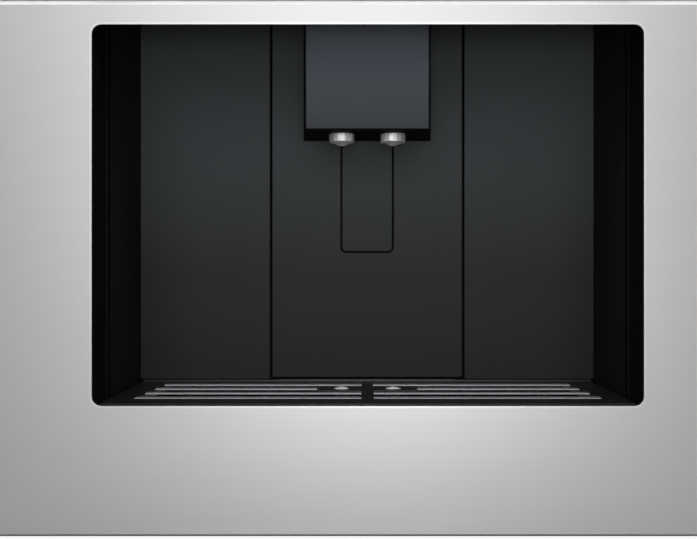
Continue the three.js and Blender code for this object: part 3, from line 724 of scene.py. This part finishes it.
@dataclass
class BottomShadowStrip:
    """The dark strip along the bottom of the door, which shows as a thin line under the steel: a painted
    shadow that stands in for the shade under the door's bottom edge.
    """

    half: float = 294.8
    front: float = 0.6
    back: float = 6.0
    bottom: float = 1.0
    top: float = 1.6

    def build(self) -> bpy.types.Object:
        """Models the strip.

        Returns:
            The new object.
        """
        strip = Bench.block("door_bottom_shadow_strip", at(-self.half, self.front, self.bottom),
                            at(self.half, self.back, self.top))
        Bench.ease(strip, 0.05 * MM, 1, 40.0)
        return strip


@dataclass
class OpeningRim:
    """The polished edge round the door's opening: a hair-thin ring on the steel, whose lighter colour also
    paints the edge's highlight.
    """

    opening: Opening
    width: float = 1.5
    proud: float = 0.06
    sunk: float = 0.4
    ease: float = 0.05

    def build(self) -> bpy.types.Object:
        """Models the ring.

        Returns:
            The new object.
        """
        ring = self.opening.slab("opening_rim", self.width, -self.proud, self.sunk)
        Bench.carve(ring, self.opening.slab("inside", 0.0, -PAST, PAST))
        Bench.chamfer(ring, on_planes((Axis.Y, at(0, -self.proud, 0)[1])), self.ease * MM)
        Bench.smooth(ring, 30.0)
        return ring


@dataclass
class ControlFascia:
    """The steel fascia above the door with holes for the display, two knobs and a button. Sizes are in mm."""

    shell: SteelShell
    display_half: float = 70.0
    display_bottom: float = 392.0
    display_top: float = 432.0
    shaft_hole: float = 4.0
    button_hole: float = 6.4

    def build(self) -> bpy.types.Object:
        """Models the fascia.

        Returns:
            The new object.
        """
        fascia = self.shell.build()
        holes = [Bench.block("display", at(-self.display_half, -PAST, self.display_bottom),
                             at(self.display_half, PAST, self.display_top))]
        drilled = ((-KNOB_X, self.shaft_hole), (KNOB_X, self.shaft_hole), (BUTTON_X, self.button_hole))
        for x, radius in drilled:
            holes.append(Bench.rod("hole", radius * MM, at(x, 0, CONTROL_Z), 2 * PAST * MM, Axis.Y))
        Bench.carve(fascia, *holes)
        Bench.ease(fascia, 0.3 * MM, 2, 40.0)
        return fascia


@dataclass
class OutletCover:
    """The tall dark cover of the coffee outlet: a five sided box with soft edges."""

    half: float = 46.5
    front: float = 82.4
    back: float = 142.5
    bottom: float = 285.7
    top: float = 446.0
    wall: float = 2.5
    edge: float = 1.2

    def build(self) -> bpy.types.Object:
        """Models the cover.

        Returns:
            The new object.
        """
        cover = Bench.block("outlet_cover_look", at(-self.half, self.front, self.bottom),
                            at(self.half, self.back, self.top))
        on_front = on_planes((Axis.Y, at(0, self.front, 0)[1]))
        on_bottom = on_planes((Axis.Z, self.bottom * MM))
        Bench.chamfer(cover, lambda a, b: on_front(a, b) and not on_bottom(a, b), self.edge * MM, 4)
        inner = self.half - self.wall
        Bench.carve(cover, Bench.block("inside", at(-inner, self.front + self.wall, self.bottom - PAST),
                                       at(inner, self.back + PAST, self.top - self.wall)))
        Bench.ease(cover, 0.2 * MM, 2, 40.0)
        return cover


@dataclass
class Nozzle:
    """A coffee nozzle: a polished collar with flat facets, a short cone and a bore."""

    name: str
    x: float
    depth: float = 102.0
    top: float = 284.1
    radius: float = 9.7
    collar: float = 6.8
    shoulder: float = 0.5
    neck_inset: float = 2.4
    cone_inset: float = 3.6
    cone_drop: float = 0.5
    tip_radius: float = 3.0
    tip: float = 2.2
    bore: float = 2.0
    cap: float = 2.0  # what stays solid above the bore
    facets: int = 20

    def build(self) -> bpy.types.Object:
        """Models the nozzle.

        Returns:
            The new object.
        """
        r, top, low = self.radius, self.top, self.top - self.collar
        rings = ((self.tip_radius, low - self.tip), (r - self.cone_inset, low - self.cone_drop),
                 (r - self.neck_inset, low), (r - self.shoulder, low), (r, low + self.shoulder),
                 (r, top - self.shoulder), (r - self.shoulder, top))
        piece = Bench.turned(self.name, at(self.x, self.depth, 0), Axis.Z,
                             [(a * MM, b * MM) for a, b in rings], self.facets)
        Bench.carve(piece, Bench.rod("bore", self.bore * MM, at(self.x, self.depth, low),
                                     2 * (self.collar - self.cap) * MM, Axis.Z, 24))
        Bench.ease(piece, 0.12 * MM, 1, 14.0)
        return piece


@dataclass
class Knob:
    """A polished control knob with grip grooves round about and a fine ring on its face."""

    name: str
    x: float
    z: float = CONTROL_Z
    radius: float = 22.0
    reach: float = 20.0
    grooves: int = 36
    groove_radius: float = 0.9
    groove_out: float = 0.4  # how far outside the knob the middle of a groove lies
    groove_length: float = 15.0
    groove_middle: float = -9.0
    mark: tuple[float, float, float] = (0.6, 11.0, 6.2)  # half width, and the ends as seen from the rim
    shaft_radius: float = 3.0
    shaft_length: float = 21.0
    shaft_middle: float = 9.5

    def build(self) -> bpy.types.Object:
        """Models the knob with its shaft.

        Returns:
            The new object.
        """
        r = self.radius
        # each ring's radius and its distance before the steel, from the rim by the fascia to the middle
        rings = ((r - 0.4, 0.8), (r, 1.4), (r, self.reach - 2.4), (r - 0.7, self.reach - 0.9),
                 (r - 2.2, self.reach), (r - 3.6, self.reach), (r - 3.9, self.reach - 0.5),
                 (r - 4.6, self.reach - 0.5), (r - 4.9, self.reach), (0.4, self.reach))
        profile = [(radius * MM, -height * MM) for radius, height in reversed(rings)]
        knob = Bench.turned(self.name, at(self.x, 0, self.z), Axis.Y, profile, 72)
        cutters = []
        for i in range(self.grooves):
            angle = 2 * math.pi * i / self.grooves
            across, up = (r + self.groove_out) * math.cos(angle), (r + self.groove_out) * math.sin(angle)
            cutters.append(Bench.rod("groove", self.groove_radius * MM,
                                     at(self.x + across, self.groove_middle, self.z + up),
                                     self.groove_length * MM, Axis.Y, 10))
        Bench.carve(knob, Bench.together(cutters))
        half, low, high = self.mark
        Bench.carve(knob, Bench.block("mark", at(self.x - half, -self.reach - 1, self.z + r - low),
                                      at(self.x + half, -self.reach + 0.5, self.z + r - high)))
        Bench.weld(knob, Bench.rod("shaft", self.shaft_radius * MM, at(self.x, self.shaft_middle, self.z),
                                   self.shaft_length * MM, Axis.Y, 24))
        Bench.ease(knob, 0.12 * MM, 1, 30.0)
        return knob


@dataclass
class PowerButton:
    """A small polished push button with a dished face and a flange behind the fascia."""

    x: float = BUTTON_X
    z: float = CONTROL_Z
    radius: float = 6.0
    reach: float = 1.6
    flange_radius: float = 8.0
    flange_front: float = 4.6
    flange_back: float = 6.4

    def build(self) -> bpy.types.Object:
        """Models the button.

        Returns:
            The new object.
        """
        r, face = self.radius, -self.reach
        # each ring's radius and depth, from the middle of the dished face to the flange
        rings = ((0.3, face + 0.5), (r - 2.5, face + 0.35), (r - 1.0, face), (r - 0.35, face),
                 (r, face + 0.35), (r, self.flange_front), (self.flange_radius, self.flange_front),
                 (self.flange_radius, self.flange_back))
        button = Bench.turned("power_button_look", at(self.x, 0, self.z), Axis.Y,
                              [(a * MM, b * MM) for a, b in rings], 64)
        Bench.ease(button, 0.1 * MM, 1, 30.0)
        return button


@dataclass
class DripCover:
    """The black plate over the drip tray, with two openings full of steel bars. Sizes are in mm."""

    half: float = 182.0
    front: float = 8.0
    back: float = 146.0
    bottom: float = 83.3
    top: float = 88.7
    lip_half: float = 71.3
    lip_rise: float = 1.8
    lip_depth: float = 3.0
    rim_depth: float = 1.6
    rim_rise: float = 1.1
    rim_inset: float = 0.2
    rows: tuple[float, ...] = (123.1, 96.6, 69.8, 42.6)  # the depths of the bars' middles
    bar_width: float = 7.8
    bar_thick: float = 1.0
    front_gap: float = 5.0
    back_gap: float = 0.3
    inner: float = 4.5  # the X where a bar starts, and where the back and the front bars end
    outer_back: float = 160.0
    outer_front: float = 165.5
    broken_row: int = 1  # the row that leaves room for the dishes, and the X where its bars start
    gap_half: float = 38.2
    dish_x: float = NOZZLE_X
    dish_depth: float = 96.0
    dish_radius: float = 6.0
    dish_gap: float = 0.5
    rod_xs: tuple[float, ...] = (NOZZLE_X, 75.0, 130.0)
    rod_low: float = 84.2
    rod_high: float = 86.6
    rod_half: float = 1.5
    cross_half: float = 2.0
    cross_row: int = 2  # the row that hides the rod between the dishes
    ledge: float = 3.0  # how far the openings' floor reaches in under the bars
    slack: float = 0.3
    end_gap: float = 0.8
    web_thick: float = 1.8
    island: tuple[float, float, float] = (37.5, 84.0, 106.0)  # half width, front and back
    edge: float = 0.45

    def bar_end(self, depth: float) -> float:
        """Gives the X in mm where a bar of the given depth ends on its outer side."""
        share = (self.rows[0] - depth) / (self.rows[0] - self.rows[-1])
        return self.outer_back + (self.outer_front - self.outer_back) * share

    def plate(self) -> bpy.types.Object:
        """Models the black plate.

        Returns:
            The new object.
        """
        plate = Bench.block("drip_plate_look", at(-self.half, self.front, self.bottom),
                            at(self.half, self.back, self.top))
        back = self.rows[0] + self.bar_width / 2 + self.back_gap
        front = self.rows[-1] - self.bar_width / 2 - self.front_gap
        seat = self.top - self.bar_thick - self.slack
        web = self.inner - self.slack
        cutters = [self._window(side, web, front, back, seat) for side in (-1, 1)]
        near, far = front + self.ledge, back - self.ledge
        well_half = self.outer_back - 2 * self.ledge
        for side in (-1, 1):
            low, high = sorted((side * web, side * well_half))
            cutters.append(Bench.block("well", at(low, near, self.bottom - PAST), at(high, far, seat + 1)))
        cutters.append(Bench.block("relief", at(-web - 1, near, self.bottom - PAST),
                                   at(web + 1, far, self.top - self.web_thick)))
        Bench.carve(plate, *cutters)
        island_half, island_front, island_back = self.island
        Bench.weld(plate,
                   Bench.block("island", at(-island_half, island_front, self.top - self.web_thick),
                               at(island_half, island_back, self.top)),
                   Bench.block("rim", at(-self.half, self.back - self.rim_depth, self.top - 1),
                               at(self.half, self.back - self.rim_inset, self.top + self.rim_rise)),
                   Bench.block("lip", at(-self.lip_half, self.back - self.lip_depth, self.top - 1),
                               at(self.lip_half, self.back, self.top + self.lip_rise)))
        for x in (-self.dish_x, self.dish_x):
            Bench.carve(plate, Bench.rod("dish_hole", (self.dish_radius + self.dish_gap) * MM,
                                         at(x, self.dish_depth, self.top), 4 * PAST * MM, Axis.Z))
        Bench.ease(plate, 0.4 * MM, 2, 40.0)
        return plate

    def grate(self) -> bpy.types.Object:
        """Models the bars with rounded edges.

        Returns:
            The new object.
        """
        low, on_top = self.top - self.bar_thick, on_planes((Axis.Z, self.top * MM))
        bars = []
        for side in (-1, 1):
            for row, depth in enumerate(self.rows):
                start = self.gap_half if row == self.broken_row else self.inner
                ends = sorted((side * start, side * self.bar_end(depth)))
                bar = Bench.block("bar", at(ends[0], depth - self.bar_width / 2, low),
                                  at(ends[1], depth + self.bar_width / 2, self.top))
                Bench.chamfer(bar, on_top, self.edge * MM, 3)
                Bench.smooth(bar, 40.0)
                bars.append(bar)
        return Bench.together(bars, "drip_grate_look")

    def rods(self) -> bpy.types.Object:
        """Models the blackened rods under the bars, with the short posts that carry the bars.

        Returns:
            The new object.
        """
        depth = self.rows[self.cross_row]
        parts = [Bench.block("rod", at(-self.dish_x, depth - self.cross_half, self.rod_low),
                             at(self.dish_x, depth + self.cross_half, self.rod_high))]
        for x in self.rod_xs:
            parts += self._rod(-x) + self._rod(x)
        return Bench.together(parts, "drip_rods_look")

    def dishes(self) -> bpy.types.Object:
        """Models the two polished drain dishes.

        Returns:
            The new object.
        """
        return Bench.together([self._dish(-self.dish_x), self._dish(self.dish_x)], "drip_dishes_look")

    def _window(self, side: int, web: float, front: float, back: float, seat: float) -> bpy.types.Object:
        """Models the cutter of one opening for the bars, whose outer side follows their ends.

        Args:
            side: -1 for the left opening, 1 for the right one.
            web: Half the width of the web between the openings in mm.
            front: The depth of the opening's front in mm.
            back: The depth of its back in mm.
            seat: The height of its floor in mm.

        Returns:
            The cutter.
        """
        low, high = sorted((side * web, side * self.bar_end(front)))
        window = Bench.block("window", at(low, front, seat), at(high, back, self.top + PAST))
        for corner in window.data.vertices:
            if abs(corner.co.x) > self.half / 2 * MM:
                corner.co.x = side * (self.bar_end(corner.co.y / MM - SKIN_Y) + self.end_gap) * MM
        return window

    def _rod(self, x: float) -> list[bpy.types.Object]:
        """Models one rod under the bars and the short posts that carry them.

        Args:
            x: The X of the rod's middle in mm.

        Returns:
            The rod and its posts.
        """
        half = self.rod_half
        made = [Bench.block("rod", at(x - half, self.rows[-1] - half, self.rod_low),
                            at(x + half, self.rows[0] + half, self.rod_high))]
        for row, depth in enumerate(self.rows):
            if row != self.broken_row or abs(x) > self.gap_half:
                made.append(Bench.block("post", at(x - half, depth - half, self.rod_high),
                                        at(x + half, depth + half, self.top - self.bar_thick)))
        return made

    def _dish(self, x: float) -> bpy.types.Object:
        """Models one domed drain dish.

        Args:
            x: The X of its middle in mm.

        Returns:
            The new object.
        """
        r, top, low = self.dish_radius, self.top, self.rod_low
        # each ring's radius and height, from the foot to the crown
        rings = ((r, low), (r, top - 0.3), (r - 0.3, top), (r - 1.4, top + 0.25), (r - 3.0, top + 0.95),
                 (r - 4.6, top + 1.25), (0.3, top + 1.3))
        dish = Bench.turned("dish", at(x, self.dish_depth, 0), Axis.Z, [(a * MM, b * MM) for a, b in rings])
        Bench.smooth(dish, 50.0)
        return dish


@dataclass
class CaseScrews:
    """The cross-head screws that hold the sides and the top of the case. Sizes are in mm."""

    half: float = 278.0  # the X of the sides' outer faces, and the Z of the top's
    top: float = 449.0
    depths: tuple[float, ...] = (75.0, 362.0)
    heights: tuple[float, ...] = (30.0, 230.0, 430.0)
    top_xs: tuple[float, ...] = (-262.0, -90.0, 90.0, 262.0)
    radius: float = 3.6
    rise: float = 1.7
    cross_long: float = 2.3
    cross_wide: float = 0.5
    cross_deep: float = 0.9

    def build(self) -> bpy.types.Object:
        """Models all the screws.

        Returns:
            The new object.
        """
        screws = [self._screw((side * self.half, depth, z), Axis.X, side)
                  for side in (-1, 1) for depth in self.depths for z in self.heights]
        screws += [self._screw((x, depth, self.top), Axis.Z, 1) for x in self.top_xs for depth in self.depths]
        return Bench.together(screws, "case_screws")

    def _screw(self, place: Point, axis: Axis, outward: int) -> bpy.types.Object:
        """Models one screw head, whose lower half lies in the sheet.

        Args:
            place: The head's X, depth and Z in mm, on the sheet's outer face.
            axis: The axis of the screw.
            outward: 1 if the head looks along the axis, -1 if against it.

        Returns:
            The new object.
        """
        head = Bench.rod("screw", self.radius * MM, at(*place), 2 * self.rise * MM, axis, 20)
        floor, past = self.rise - self.cross_deep, self.rise + 1.0
        cuts = []
        for reaches in ((self.cross_long, self.cross_wide), (self.cross_wide, self.cross_long)):
            low, high = list(place), list(place)
            lane = axis.value
            low[lane], high[lane] = sorted((place[lane] + outward * floor, place[lane] + outward * past))
            for i, reach in zip((i for i in range(3) if i != lane), reaches):
                low[i], high[i] = place[i] - reach, place[i] + reach
            cuts.append(Bench.block("cross", at(*low), at(*high)))
        Bench.carve(head, *cuts)
        Bench.ease(head, 0.25 * MM, 2, 50.0)
        return head


# ---- The studio ------------------------------------------------------------------------------


@dataclass
class AreaLight:
    """A soft white rectangular lamp that is aimed at a point. Sizes are in metres, its power in watts."""

    name: str
    place: Point
    aim: Point
    size: tuple[float, float]
    power: float

    def build(self) -> None:
        """Adds the lamp."""
        data = bpy.data.lights.new(self.name, "AREA")
        data.shape = "RECTANGLE"
        data.size, data.size_y = self.size
        data.energy = self.power
        lamp = bpy.data.objects.new(self.name, data)
        lamp.location = self.place
        lamp.visible_camera = False
        lamp.rotation_euler = (Vector(self.aim) - Vector(self.place)).to_track_quat("-Z", "Y").to_euler()
        bpy.context.scene.collection.objects.link(lamp)


@dataclass
class Studio:
    """The camera, the pale floor and the soft light round the machine."""

    camera_place: Point = (-0.0026, -0.854, 0.1796)
    lens: float = 51.8
    shift: float = -0.0222
    sensor: float = 36.0
    nearest: float = 0.02
    surround: float = 0.10
    surround_rise: Ranges = (-0.4, 0.8, 0.5, 1.3)  # low and high Z, and the share of surround at each
    surround_width: Ranges = (0.0, 0.7, 1.25, 0.1)  # the same from the middle to the sides
    white_behind: tuple[float, float] = (-0.8, -0.3)  # for what shines: the Y where white begins, and is full
    floor_size: float = 12.0
    floor_behind: tuple[float, float] = (-0.15, 0.15)
    floor_glow: Ranges = (0.8, 2.4, 0.86, 1.0)  # near and far, and the floor's own white at each
    floor_paper: float = 0.92
    lamps: tuple[AreaLight, ...] = (
        AreaLight("front_light", (-0.07, -2.7, 1.00), aim=(-0.02, -0.1, 0.2), size=(1.75, 1.6), power=15.0),
        AreaLight("low_light", (0.03, -1.5, 0.14), aim=(0.0, -0.05, 0.30), size=(0.4, 0.2), power=2.3),
        AreaLight("high_light", (0.0, -1.15, 1.75), aim=(0.0, -0.12, 0.15), size=(1.1, 0.4), power=19.0),
        AreaLight("back_light", (0.0, 2.4, 1.5), aim=(0.0, 0.2, 0.2), size=(1.8, 1.4), power=34.0),
        AreaLight("left_light", (-2.2, 0.9, 1.2), aim=(-0.28, 0.1, 0.2), size=(1.3, 1.3), power=24.0),
        AreaLight("right_light", (2.2, 0.9, 1.2), aim=(0.28, 0.1, 0.2), size=(1.3, 1.3), power=24.0),
        AreaLight("top_light", (0.0, 0.15, 1.7), aim=(0.0, 0.15, 0.0), size=(1.8, 0.8), power=2.6),
    )

    def build(self) -> None:
        """Sets up the camera, the floor, the lamps and the surroundings."""
        self._camera()
        self._floor()
        self._surroundings()
        for lamp in self.lamps:
            lamp.build()
        bpy.context.scene.view_settings.view_transform = "Standard"

    def _camera(self) -> None:
        """Adds the camera, which stands level in front of the machine."""
        data = bpy.data.cameras.new("camera")
        data.sensor_width = self.sensor
        data.lens = self.lens
        data.shift_x = self.shift
        data.clip_start = self.nearest
        data.dof.use_dof = False
        camera = bpy.data.objects.new("camera", data)
        camera.location = self.camera_place
        camera.rotation_euler = (QUARTER, 0.0, 0.0)
        bpy.context.scene.collection.objects.link(camera)
        bpy.context.scene.camera = camera

    def _floor(self) -> None:
        """Adds a plain pale floor that the camera sees as white."""
        bpy.ops.object.select_all(action="DESELECT")
        bpy.ops.mesh.primitive_plane_add(size=self.floor_size, location=(0.0, 0.0, 0.0))
        floor = bpy.context.active_object
        floor.name = "floor"
        material = FLOOR_PAINT.build()
        tree = material.node_tree
        nodes, links = tree.nodes, tree.links
        place = nodes.new("ShaderNodeTexCoord").outputs["Object"]
        glow = nodes.new("ShaderNodeEmission")
        glow.inputs["Color"].default_value = (1.0, 1.0, 1.0, 1.0)
        glow.inputs["Strength"].default_value = 1.0
        paper = nodes.new("ShaderNodeBsdfDiffuse")
        paper.inputs["Color"].default_value = (self.floor_paper, self.floor_paper, self.floor_paper, 1.0)
        away = nodes.new("ShaderNodeVectorMath")
        away.operation = "LENGTH"
        links.new(place, away.inputs[0])
        white = self._mix(tree, mapped(tree, away.outputs["Value"], self.floor_glow),
                          paper.outputs["BSDF"], glow.outputs["Emission"])
        mixed = self._mix(tree, self._white_rays(tree, place, self.floor_behind),
                          nodes["Principled BSDF"].outputs["BSDF"], white)
        links.new(mixed, nodes["Material Output"].inputs["Surface"])
        floor.data.materials.append(material)

    def _surroundings(self) -> None:
        """Makes the world a soft grey that darkens to the sides and below, behind a white background."""
        world = bpy.data.worlds.new("surroundings")
        world.use_nodes = True
        tree = world.node_tree
        place = tree.nodes.new("ShaderNodeTexCoord").outputs["Generated"]
        direction = split(tree, place)
        low, high, dimmest, brightest = self.surround_rise
        rise = mapped(tree, direction["Z"], (low, high, dimmest * self.surround, brightest * self.surround))
        fade = mapped(tree, calculated(tree, "ABSOLUTE", direction["X"]), self.surround_width)
        level = calculated(tree, "MULTIPLY", rise, fade)
        missing = calculated(tree, "SUBTRACT", 1.0, level)
        added = calculated(tree, "MULTIPLY", self._white_rays(tree, place, self.white_behind), missing)
        background = tree.nodes["Background"]
        background.inputs["Color"].default_value = (1.0, 1.0, 1.0, 1.0)
        tree.links.new(calculated(tree, "ADD", level, added), background.inputs["Strength"])
        bpy.context.scene.world = world

    @staticmethod
    def _mix(tree: bpy.types.NodeTree, share: bpy.types.NodeSocket, first: bpy.types.NodeSocket,
             second: bpy.types.NodeSocket) -> bpy.types.NodeSocket:
        """Mixes two shaders.

        Args:
            tree: The node tree that gets the mix.
            share: How much of the second shader there is.
            first: The shader at a share of 0.
            second: The shader at a share of 1.

        Returns:
            The mixed shader.
        """
        mix = tree.nodes.new("ShaderNodeMixShader")
        for source, socket in ((share, mix.inputs["Fac"]), (first, mix.inputs[1]), (second, mix.inputs[2])):
            tree.links.new(source, socket)
        return mix.outputs["Shader"]

    @staticmethod
    def _white_rays(tree: bpy.types.NodeTree, place: bpy.types.NodeSocket,
                    behind: tuple[float, float]) -> bpy.types.NodeSocket:
        """Tells how much of the white background a ray sees.

        The camera and clear plastic see all of it. What shines sees it at the sides and the back.

        Args:
            tree: The node tree that gets the nodes.
            place: The place or direction whose Y counts.
            behind: The Y at which the background begins for what shines, and at which it is full.

        Returns:
            A value from 0 to 1.
        """
        path = tree.nodes.new("ShaderNodeLightPath").outputs
        reach = mapped(tree, split(tree, place)["Y"], (*behind, 0.0, 1.0))
        shiny = calculated(tree, "MULTIPLY", path["Is Glossy Ray"], reach)
        clear = calculated(tree, "MAXIMUM", path["Is Camera Ray"], path["Is Transmission Ray"])
        return calculated(tree, "MAXIMUM", shiny, clear)


# ---- Assembly --------------------------------------------------------------------------------


@dataclass(frozen=True)
class Part:
    """A modelled piece: how it is made, the CAD node it stands for if any, and its body, slot and finish."""

    make: Callable[[], bpy.types.Object]
    node: Optional[str]
    body: str
    slot: str
    finish: Finish


class CoffeeMachine:
    """The visual model: modelled pieces for what shows, and softened CAD nodes for the rest."""

    def __init__(self) -> None:
        """Sets the sizes of the modelled pieces."""
        opening = Opening()
        door_shell = SteelShell("door_skin_look", 1.0, 360.4, top_chamfer=3.3, bottom_chamfer=1.2)
        fascia_shell = SteelShell("control_fascia_look", 363.7, 457.0)
        cover = DripCover()
        self.parts = (
            Part(DoorSkin(door_shell, opening).build, "door_skin", "door", "brushed_steel", BRUSHED_STEEL),
            Part(OpeningRim(opening).build, None, "door", "brushed_steel", RIM_STEEL_AND_HIGHLIGHT),
            Part(TopEdge().build, None, "door", "brushed_steel", TOP_EDGE_HIGHLIGHT),
            Part(BottomShadowStrip().build, None, "door", "black_plastic", BLACK_PLASTIC),
            Part(ControlFascia(fascia_shell).build, "control_fascia", "machine", "brushed_steel",
                 BRUSHED_STEEL),
            Part(OutletCover().build, "outlet_cover", "outlet_front", "outlet_cover", OUTLET_COAT),
            Part(Nozzle("nozzle_left_look", -NOZZLE_X).build, "nozzle_left", "outlet", "polished_steel",
                 NOZZLE_STEEL),
            Part(Nozzle("nozzle_right_look", NOZZLE_X).build, "nozzle_right", "outlet", "polished_steel",
                 NOZZLE_STEEL),
            Part(Knob("knob_left_look", -KNOB_X).build, "knob_left", "left_knob", "polished_steel",
                 POLISHED_STEEL),
            Part(Knob("knob_right_look", KNOB_X).build, "knob_right", "right_knob", "polished_steel",
                 POLISHED_STEEL),
            Part(PowerButton().build, "power_button", "button", "polished_steel", POLISHED_STEEL),
            Part(CaseScrews().build, None, "machine", "polished_steel", POLISHED_STEEL),
            Part(cover.plate, "drip_plate", "drip_cover", "black_plastic", TRAY_BLACK),
            Part(cover.grate, "drip_grate", "drip_cover", "grate_steel", GRATE_STEEL),
            Part(cover.rods, None, "drip_cover", "grate_steel", BLACK_PLASTIC),
            Part(cover.dishes, None, "drip_cover", "grate_steel", DISH_STEEL),
        )
        self.palette = Palette()

    def build(self) -> None:
        """Models the pieces, and softens and dresses the CAD nodes that still show."""
        for part in self.parts:
            piece = part.make()
            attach(piece, part.body)
            if part.node:
                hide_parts(part.node)
            self.palette.dress(piece, part.finish)
            log.info("%s: %d faces", piece.name, len(piece.data.polygons))
        for finish, names in NODE_FINISHES.items():
            for name in names:
                soften_node(name, NODE_EDGE * MM)
                self.palette.dress(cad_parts[name], finish)
        dressed = {part.node for part in self.parts}.union(*NODE_FINISHES.values())
        missing = set(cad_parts) - dressed
        if missing:
            log.warning("nodes without a finish: %s", sorted(missing))


def main() -> None:
    """Builds the machine and its studio."""
    logging.basicConfig(level=logging.INFO, format="%(name)s: %(message)s")
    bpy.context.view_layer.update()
    CoffeeMachine().build()
    Studio().build()


if __name__ == "__main__":
    main()
